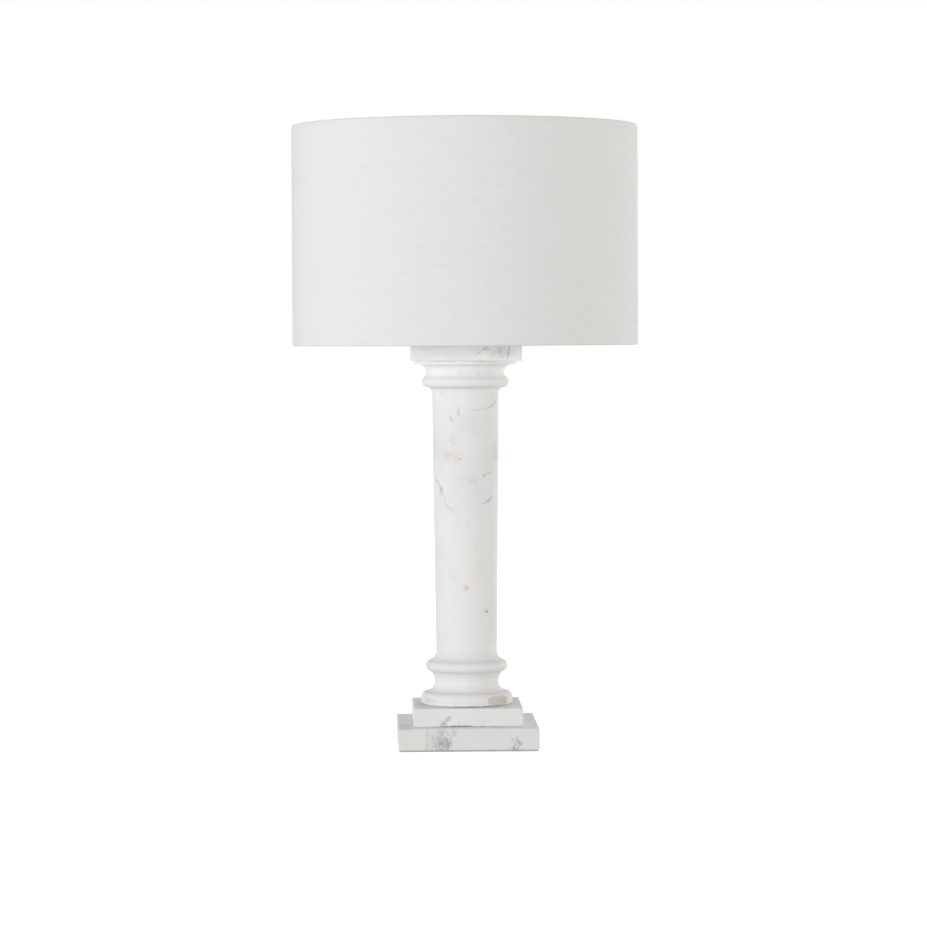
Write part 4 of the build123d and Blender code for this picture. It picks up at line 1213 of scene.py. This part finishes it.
class LAMP_OT_knob(bpy.types.Operator):
    """Moulds the switch's turn knob"""
    bl_idname = "lamp.knob"
    bl_label = "Switch knob"

    def execute(self, context):
        near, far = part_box("switch_knob")
        depth, centre, size = far.y - near.y, (near.z + far.z) / 2, radius("switch_knob")
        hub, blade, bore, bore_deep, ridges, ridge_deep = 0.0040, 0.0015, 0.00195, 0.0090, 24, 0.018
        blade /= size

        def ring(along, wide, tall, knurl=0.0):
            """A section this far from the knob's back, with its half width and half height."""
            points = []
            for a in round_about(72):
                ridge = 1.0 - knurl * (0.5 + 0.5 * math.cos(ridges * a))
                points.append((wide * ridge * math.cos(a), far.y - along,
                               centre + tall * ridge * math.sin(a)))
            return points

        sections = [ring(bore_deep, bore, bore), ring(0.0, bore, bore)]
        for along, tall, wide in (      # from the back, and shares of the knob's size
                (0.0, 0.96, 1.0), (0.0004, 1.0, 1.0), (hub - 0.0006, 1.0, 1.0), (hub, 0.97, 0.94),
                (hub + 0.0008, 0.95, 0.62), (hub + 0.0018, 0.94, 0.40),
                (hub + 0.0030, 0.93, blade * 1.15), (depth - 0.0010, 0.92, blade),
                (depth - 0.0003, 0.90, blade * 0.9), (depth, 0.84, blade * 0.6)):
            sections.append(ring(along, size * wide, size * tall, ridge_deep * (along < hub)))
        set_in("switch_knob_moulded", looped("knob_moulded", sections, 40.0, closed=False), "switch",
               "knob", moulded("knob_plastic"), "switch_knob")
        return {"FINISHED"}


# ---- bulb and finial ----
class LAMP_OT_bulb(bpy.types.Operator):
    """Makes the bulb: globe, collar, threaded base and contact"""
    bl_idname = "lamp.bulb"
    bl_label = "Bulb"

    def execute(self, context):
        z, mouth, foot = low("bulb_collar"), high("bulb_collar"), 0.0122
        globe, glass, collar_wall = radius("bulb_globe"), 0.0012, 0.0015
        centre = high("bulb_globe") - globe
        edge = math.sqrt(globe ** 2 - (centre - mouth) ** 2)
        start = math.degrees(math.atan2(mouth - centre, edge))
        inner = globe - glass
        ball = [(edge - glass, mouth), (edge, mouth)]
        ball += circle((0.0, centre), globe, start, 90.0 - start, 56)[1:-1]
        ball += [(AXIS, centre + globe), (AXIS, centre + inner)]
        ball += circle((0.0, centre), inner, 90.0, start - 90.0, 40)[1:-1]
        set_in("bulb_globe_opal", turned("globe_blown", ball, 160), "bulb", "bulb_glass",
               opal_glass(), "bulb_globe")

        collar = Outline().near(foot, z, (0, 20), (30, 100))
        collar.leave((edge - 0.0002, mouth - 0.0006), steps=24).near(edge, mouth, (-30, 0))
        collar.append((edge - collar_wall, mouth))
        collar.reach((foot - collar_wall, z), DOWN, 20)
        set_in("bulb_collar_moulded", turned("collar_moulded", collar, 120), "bulb", "bulb_collar",
               moulded("collar_plastic"), "bulb_collar")

        bottom, top, bore, crest = low("bulb_screw_base"), high("bulb_screw_base"), 0.0116, 0.0130
        thread_top = top - 0.0040
        base = threaded("bulb_thread", foot, crest, context.scene.lamp_sizes.bulb_pitch, bottom,
                        thread_top, bore, 96, 14)
        rim = Outline([(bore, thread_top), (foot, thread_top)])
        rim.near(foot, top, (0, -220), (-30, -180), (-30, -120), (0, -80), (0, 0))
        rim.append((bore, top))
        base = joined("bulb_base", (base, turned("bulb_rim", rim, 96, 50.0)), 50.0, 1e-6)
        set_in("bulb_base_rolled", base, "bulb", "bulb_metal", metal("rolled_aluminium"),
               "bulb_screw_base")
        refinish(moulded("vitrite"), "bulb_insulator")

        z, top, size = low("bulb_contact"), high("bulb_contact"), radius("bulb_contact")
        bead = Outline([(AXIS, top), (size * 0.94, top), (size, top - 0.0002)])
        bead.leave((AXIS, z), DOWN)
        set_in("bulb_contact_bead", turned("bead_set", bead, 60), "bulb_lift", "solder",
               metal("solder_bead"), "bulb_contact")
        return {"FINISHED"}


class LAMP_OT_finial(bpy.types.Operator):
    """Turns the finial, with a knurled foot and a ball"""
    bl_idname = "lamp.finial"
    bl_label = "Finial"

    def execute(self, context):
        z, top = low("finial_knob"), high("finial_knob")
        foot, ball, waist = 0.0068, radius("finial_knob"), 0.0054
        neck, crown, edge = z + 0.0024, top - 0.0150, 0.0002
        hole, deep, pilot, pilot_top = 0.00425, z + 0.00905, 0.0032, z + 0.0130
        outline = Outline([(hole, z)]).near(foot, z, (-30, 0), (0, 30))
        outline.near(foot, neck, (0, -40), (-30, 0)).near(waist, neck, (20, 10), (0, 100))
        outline.append((waist, crown))
        outline.through((ball, crown + 0.0075), (waist, top - edge), 28)
        outline += [(waist - 3 * edge, top), (AXIS, top), (AXIS, pilot_top), (pilot, pilot_top),
                    (pilot, deep), (hole, deep)]
        steps, knurl, groove = 160, 4, 0.00018
        knurled = {point for point in outline
                   if z + edge < point[1] < neck - edge and point[0] > waist + 3 * edge}
        sections = []
        for i, a in enumerate(round_about(steps)):
            sunk = groove * (i % knurl == 0)
            ring = [(r - sunk * ((r, height) in knurled), height) for r, height in outline]
            sections.append(at_angle(ring, a))
        plated("finial_turned", looped("finial_knurled", sections, 40.0), "finial_knob", "finial")
        return {"FINISHED"}


# ---- shade ----
HEM_TURN, NOTCH_TURN = 250.0, 95.0      # degrees that the fabric goes round a ring wire
SEAM = math.pi / 2                      # the seam is at the back
ARMS = (90, 210, 330)                   # degrees at which the spider's arms meet the ring


def apart(a, b):
    """The angle from b to a, between minus and plus half a turn."""
    return (a - b + math.pi) % TURN - math.pi


def shade_angles(steps, notches, notch_half):
    """Angles round the shade, close together at the seam's edge and the notches."""
    seam_step, notch_step, least = 0.0012, 0.0020, 0.0009
    extra = [SEAM - seam_step, SEAM, SEAM + seam_step]
    for notch in notches:
        extra += [notch + side * (notch_half + gap) for side in (-1, 1) for gap in (0, notch_step)]
        extra += [notch]
    extra = [a % TURN for a in extra]
    kept = [a for a in round_about(steps) if all(abs(apart(a, e)) > least for e in extra)]
    return sorted(kept + extra)


class LAMP_OT_shade(bpy.types.Operator):
    """Rolls the linen round its ring wires, with its lapped back seam, liner and tape"""
    bl_idname = "lamp.shade"
    bl_label = "Shade"

    def execute(self, context):
        sizes = context.scene.lamp_sizes
        wall, roll, cloth = radius("shade_fabric"), sizes.hem_roll, sizes.fabric
        pitch, lap = wall - roll, sizes.seam_lap / wall
        bottom, top = low("shade_fabric") + roll, high("shade_fabric") - roll
        notches, notch_play = [math.radians(a) for a in ARMS], 0.0008
        notch_half = (sizes.spider_wire / 2 + notch_play) / pitch
        rows, turns, steps, slack, lap_lift = 40, 16, 360, 0.0005, 0.00042
        sag, lumps_round, lumps_up = 0.00022, 9, 14
        heights = spread(bottom, top, rows)

        def section(angle):
            near = min(abs(apart(angle, n)) for n in notches)
            rolled = NOTCH_TURN if near < notch_half + slack else HEM_TURN
            past = apart(angle, SEAM)
            lift = lap_lift * max(0.0, 1 - past / lap) if past > slack else 0.0
            c, s = lumps_round * math.cos(angle), lumps_round * math.sin(angle)
            sags = [sag * noise.noise(Vector((c, s, z * lumps_up))) * math.sin(math.pi * i / rows)
                    for i, z in enumerate(heights)]
            outline = [(wall + lift + off, z) for off, z in zip(sags, heights)]
            outline += [(r + lift * (1 - i / turns), z) for i, (r, z) in
                        enumerate(circle((pitch, top), roll, 0, rolled, turns)) if i]
            outline += circle((pitch, top), roll - cloth, rolled, -rolled, turns)
            outline += [(wall - cloth + off, z) for off, z in zip(sags, heights)][-2:0:-1]
            outline += circle((pitch, bottom), roll - cloth, 0, -HEM_TURN, turns)
            outline += [(r + lift * i / turns, z) for i, (r, z) in
                        enumerate(circle((pitch, bottom), roll, -HEM_TURN, HEM_TURN, turns)[:-1])]
            return at_angle(outline, angle)

        angles = shade_angles(steps, notches, notch_half)
        cover = set_in("shade_linen", looped("linen_rolled", [section(a) for a in angles], 50.0),
                       "shade", "shade_fabric", woven("linen_cloth", wall), "shade_fabric")

        out, thick = radius("shade_liner"), 0.0005
        levels = spread(low("shade_liner"), high("shade_liner"), 12)
        profile = [(out, z) for z in levels] + [(out - thick, z) for z in reversed(levels)]
        set_in("shade_liner_sheet", turned("liner_rolled", profile, steps), "shade", "shade_liner",
               moulded("styrene_sheet"), "shade_liner")

        near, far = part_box("shade_seam_tape")
        rim, thick, fray = far.y, 0.0003, 0.0003
        span = (far.x - near.x) / 2 / rim
        strip = []
        for i, a in enumerate(spread(SEAM + span, SEAM - span, 12)):
            frayed = fray * noise.noise(Vector((i * 3.1, 0.0, 4.0)))
            levels = spread(near.z + frayed, far.z, 30)
            strip.append(at_angle([(rim, z) for z in levels]
                                  + [(rim - thick, z) for z in reversed(levels)], a))
        tape = set_in("seam_tape_strip", looped("tape_cut", strip, 40.0, closed=False), "shade",
                      "shade_liner", woven("tape_cloth", rim), "shade_seam_tape")
        return {"FINISHED"}


class LAMP_OT_spider(bpy.types.Operator):
    """Bends the shade's ring wires and its three spider arms, and makes their hub"""
    bl_idname = "lamp.spider"
    bl_label = "Shade wires"

    def execute(self, context):
        sizes = context.scene.lamp_sizes
        coated = moulded("powder_coat")
        for side in ("top", "bottom"):
            node = f"shade_{side}_ring"
            pitch, z = radius(node) - sizes.ring_wire / 2, (low(node) + high(node)) / 2
            points = [at_angle([(pitch, z)], a)[0] for a in round_about(360)]
            set_in("shade_ring_" + side, wire(node + "_bent", points, sizes.ring_wire, True),
                   "shade", "shade_wire", coated, node)

        ring_z = (low("shade_top_ring") + high("shade_top_ring")) / 2
        ring_in = radius("shade_top_ring") - sizes.ring_wire
        bottom, top, rim, bore = low("spider_hub"), high("spider_hub"), radius("spider_hub"), 0.0032
        mid, in_hub, play, touch = (bottom + top) / 2, 0.0040, 0.00005, 0.0001
        flat_run, drop_run, bend = 0.0400, 0.0750, 0.012
        hub = eased([(bore, bottom), (rim, bottom), (rim, top), (bore, top)], 0.0005)
        path = rounded_path([(rim - in_hub + play, 0, mid), (flat_run, 0, mid),
                             (drop_run, 0, ring_z), (ring_in + touch, 0, ring_z)], [bend, bend])
        seats, arms = [], []
        for angle in ARMS:
            turn = Matrix.Rotation(math.radians(angle), 4, "Z")
            seats.append(bar(f"seat_{angle}", sizes.spider_wire / 2 + play, rim - in_hub,
                             rim + 0.02, turn @ lifted(mid) @ TO_RIGHT, 24))
            arms.append(wire(f"arm_{angle}", path, sizes.spider_wire))
            arms[-1].transform(turn)
        set_in("spider_arm_wires", joined("spider_bent", arms, 60.0), "shade", "shade_wire", coated,
               "spider_arms")
        set_in("spider_hub_washer", carved(turned("hub_turned", hub, 96, 40.0), *seats), "shade",
               "shade_wire", coated, "spider_hub")
        return {"FINISHED"}


# ---- stage ----
def lay_floor(scene):
    """A pale floor with a hole under the lamp, clear when seen from below."""
    under, wide, hole = -0.0001, 40.0, radius("felt_pad") - 0.001
    paper, roughness, shine, glow = (0.80, 0.80, 0.80), 0.9, 0.1, 0.64
    mesh = bpy.data.meshes.new("floor_sheet")
    corners = ((-1, -1), (1, -1), (1, 1), (-1, 1))
    mesh.from_pydata([(x * half, y * half, under) for half in (wide, hole) for x, y in corners], [],
                     [(i, (i + 1) % 4, 4 + (i + 1) % 4, 4 + i) for i in range(4)])
    floor = bpy.data.objects.new("studio_floor", mesh)
    scene.collection.objects.link(floor)

    def build(w):
        from_below = w.add("NewGeometry").outputs["Backfacing"]
        return {"Emission Strength": w.math("MULTIPLY", w.seen(), glow),
                "Alpha": w.math("SUBTRACT", 1.0, from_below)}
    mesh.materials.append(finish("studio_paper", build, Base_Color=paper, Roughness=roughness,
                                 Specular_IOR_Level=shine, Emission_Color=WHITE))


def light_all_round(scene, ambient):
    """An even light that the camera sees as plain white."""
    world = bpy.data.worlds.new("studio_light")
    world.use_nodes = True
    scene.world = world
    w = Wiring(world.node_tree)
    sky = w.own("BACKGROUND")
    w.feed(sky.inputs["Color"], WHITE)
    w.feed(sky.inputs["Strength"], w.blend(w.seen(), ambient, 1.0))


def hang_lamp(scene, name, strength, colour, azimuth, reach):
    """A wide soft lamp that faces the column from this side."""
    wide, tall, height = 3.0, 1.0, 0.55
    lamp = bpy.data.lights.new(name + "_lamp", "AREA")
    lamp.shape, lamp.size, lamp.size_y = "RECTANGLE", wide, tall
    lamp.color = colour
    lamp.energy = strength * (math.pi * reach) ** 2
    holder = bpy.data.objects.new(name + "_lamp", lamp)
    holder.visible_camera = False
    holder.visible_glossy = name != "back"
    scene.collection.objects.link(holder)
    a = math.radians(azimuth)
    away = Vector((math.sin(a), -math.cos(a), 0.0))
    facing = away.to_track_quat("Z", "Y").to_matrix().to_4x4()
    holder.matrix_world = Matrix.Translation(away * reach + Vector((0, 0, height))) @ facing


def aim_camera(scene, stage):
    """A camera at the stage's place, turned, tilted and rolled as it says."""
    film, farthest = 36.0, 200.0
    camera = bpy.data.cameras.new("studio_camera")
    camera.lens, camera.sensor_width, camera.clip_end = stage.lens, film, farthest
    holder = bpy.data.objects.new("studio_camera", camera)
    scene.collection.objects.link(holder)
    a, e, r = stage.azimuth + stage.yaw, stage.pitch, stage.roll
    ahead = Vector((-math.sin(a) * math.cos(e), math.cos(a) * math.cos(e), -math.sin(e)))
    right = ahead.cross(Vector((0, 0, 1))).normalized()
    up = right.cross(ahead)
    across = right * math.cos(r) + up * math.sin(r)
    upright = up * math.cos(r) - right * math.sin(r)
    place = Vector((math.sin(stage.azimuth) * stage.distance,
                    -math.cos(stage.azimuth) * stage.distance, stage.height))
    facing = Matrix((across, upright, -ahead)).transposed().to_4x4()
    holder.matrix_world = Matrix.Translation(place) @ facing
    scene.camera = holder


class LAMP_OT_stage(bpy.types.Operator):
    """Sets the pale floor, the even light, the soft lamps and the camera"""
    bl_idname = "lamp.stage"
    bl_label = "Stage"

    def execute(self, context):
        scene, stage = context.scene, context.scene.lamp_stage
        scene.view_settings.view_transform = "Standard"
        lay_floor(scene)
        light_all_round(scene, stage.ambient)
        for name, strength, colour, azimuth in (
                ("key", stage.key, stage.key_colour, -62), ("fill", stage.fill, stage.fill_colour, 62),
                ("front", stage.front, WHITE, 0), ("back", stage.back, WHITE, 142)):
            hang_lamp(scene, name, strength, colour, azimuth, stage.reach)
        aim_camera(scene, stage)
        return {"FINISHED"}


class LAMP_PT_pieces(bpy.types.Panel):
    """Lists the lamp's pieces, sizes, colours and stage"""
    bl_idname = "LAMP_PT_pieces"
    bl_label = "Column table lamp"
    bl_space_type = "VIEW_3D"
    bl_region_type = "UI"
    bl_category = "Lamp"

    def draw(self, context):
        for group in SETTINGS:
            settings = getattr(context.scene, group)
            box = self.layout.box()
            for name in settings.__annotations__:
                box.prop(settings, name)
        for operator in PIECES:
            self.layout.operator(operator.bl_idname)


PIECES = (LAMP_OT_slabs, LAMP_OT_turnings, LAMP_OT_underside, LAMP_OT_neck, LAMP_OT_harp,
          LAMP_OT_socket, LAMP_OT_knob, LAMP_OT_bulb, LAMP_OT_finial, LAMP_OT_spider, LAMP_OT_shade,
          LAMP_OT_stage)
SETTINGS = {"lamp_sizes": LampSizes, "lamp_colours": LampColours, "lamp_stage": LampStage}


def register():
    for group in SETTINGS.values():
        bpy.utils.register_class(group)
    for name, group in SETTINGS.items():
        setattr(bpy.types.Scene, name, PointerProperty(type=group))
    for piece in (*PIECES, LAMP_PT_pieces):
        bpy.utils.register_class(piece)


def unregister():
    for piece in (LAMP_PT_pieces, *reversed(PIECES)):
        bpy.utils.unregister_class(piece)
    for name, group in reversed(SETTINGS.items()):
        delattr(bpy.types.Scene, name)
        bpy.utils.unregister_class(group)


def main():
    register()
    for piece in PIECES:
        family, name = piece.bl_idname.split(".")
        getattr(getattr(bpy.ops, family), name)()


if __name__ == "__main__":
    main()
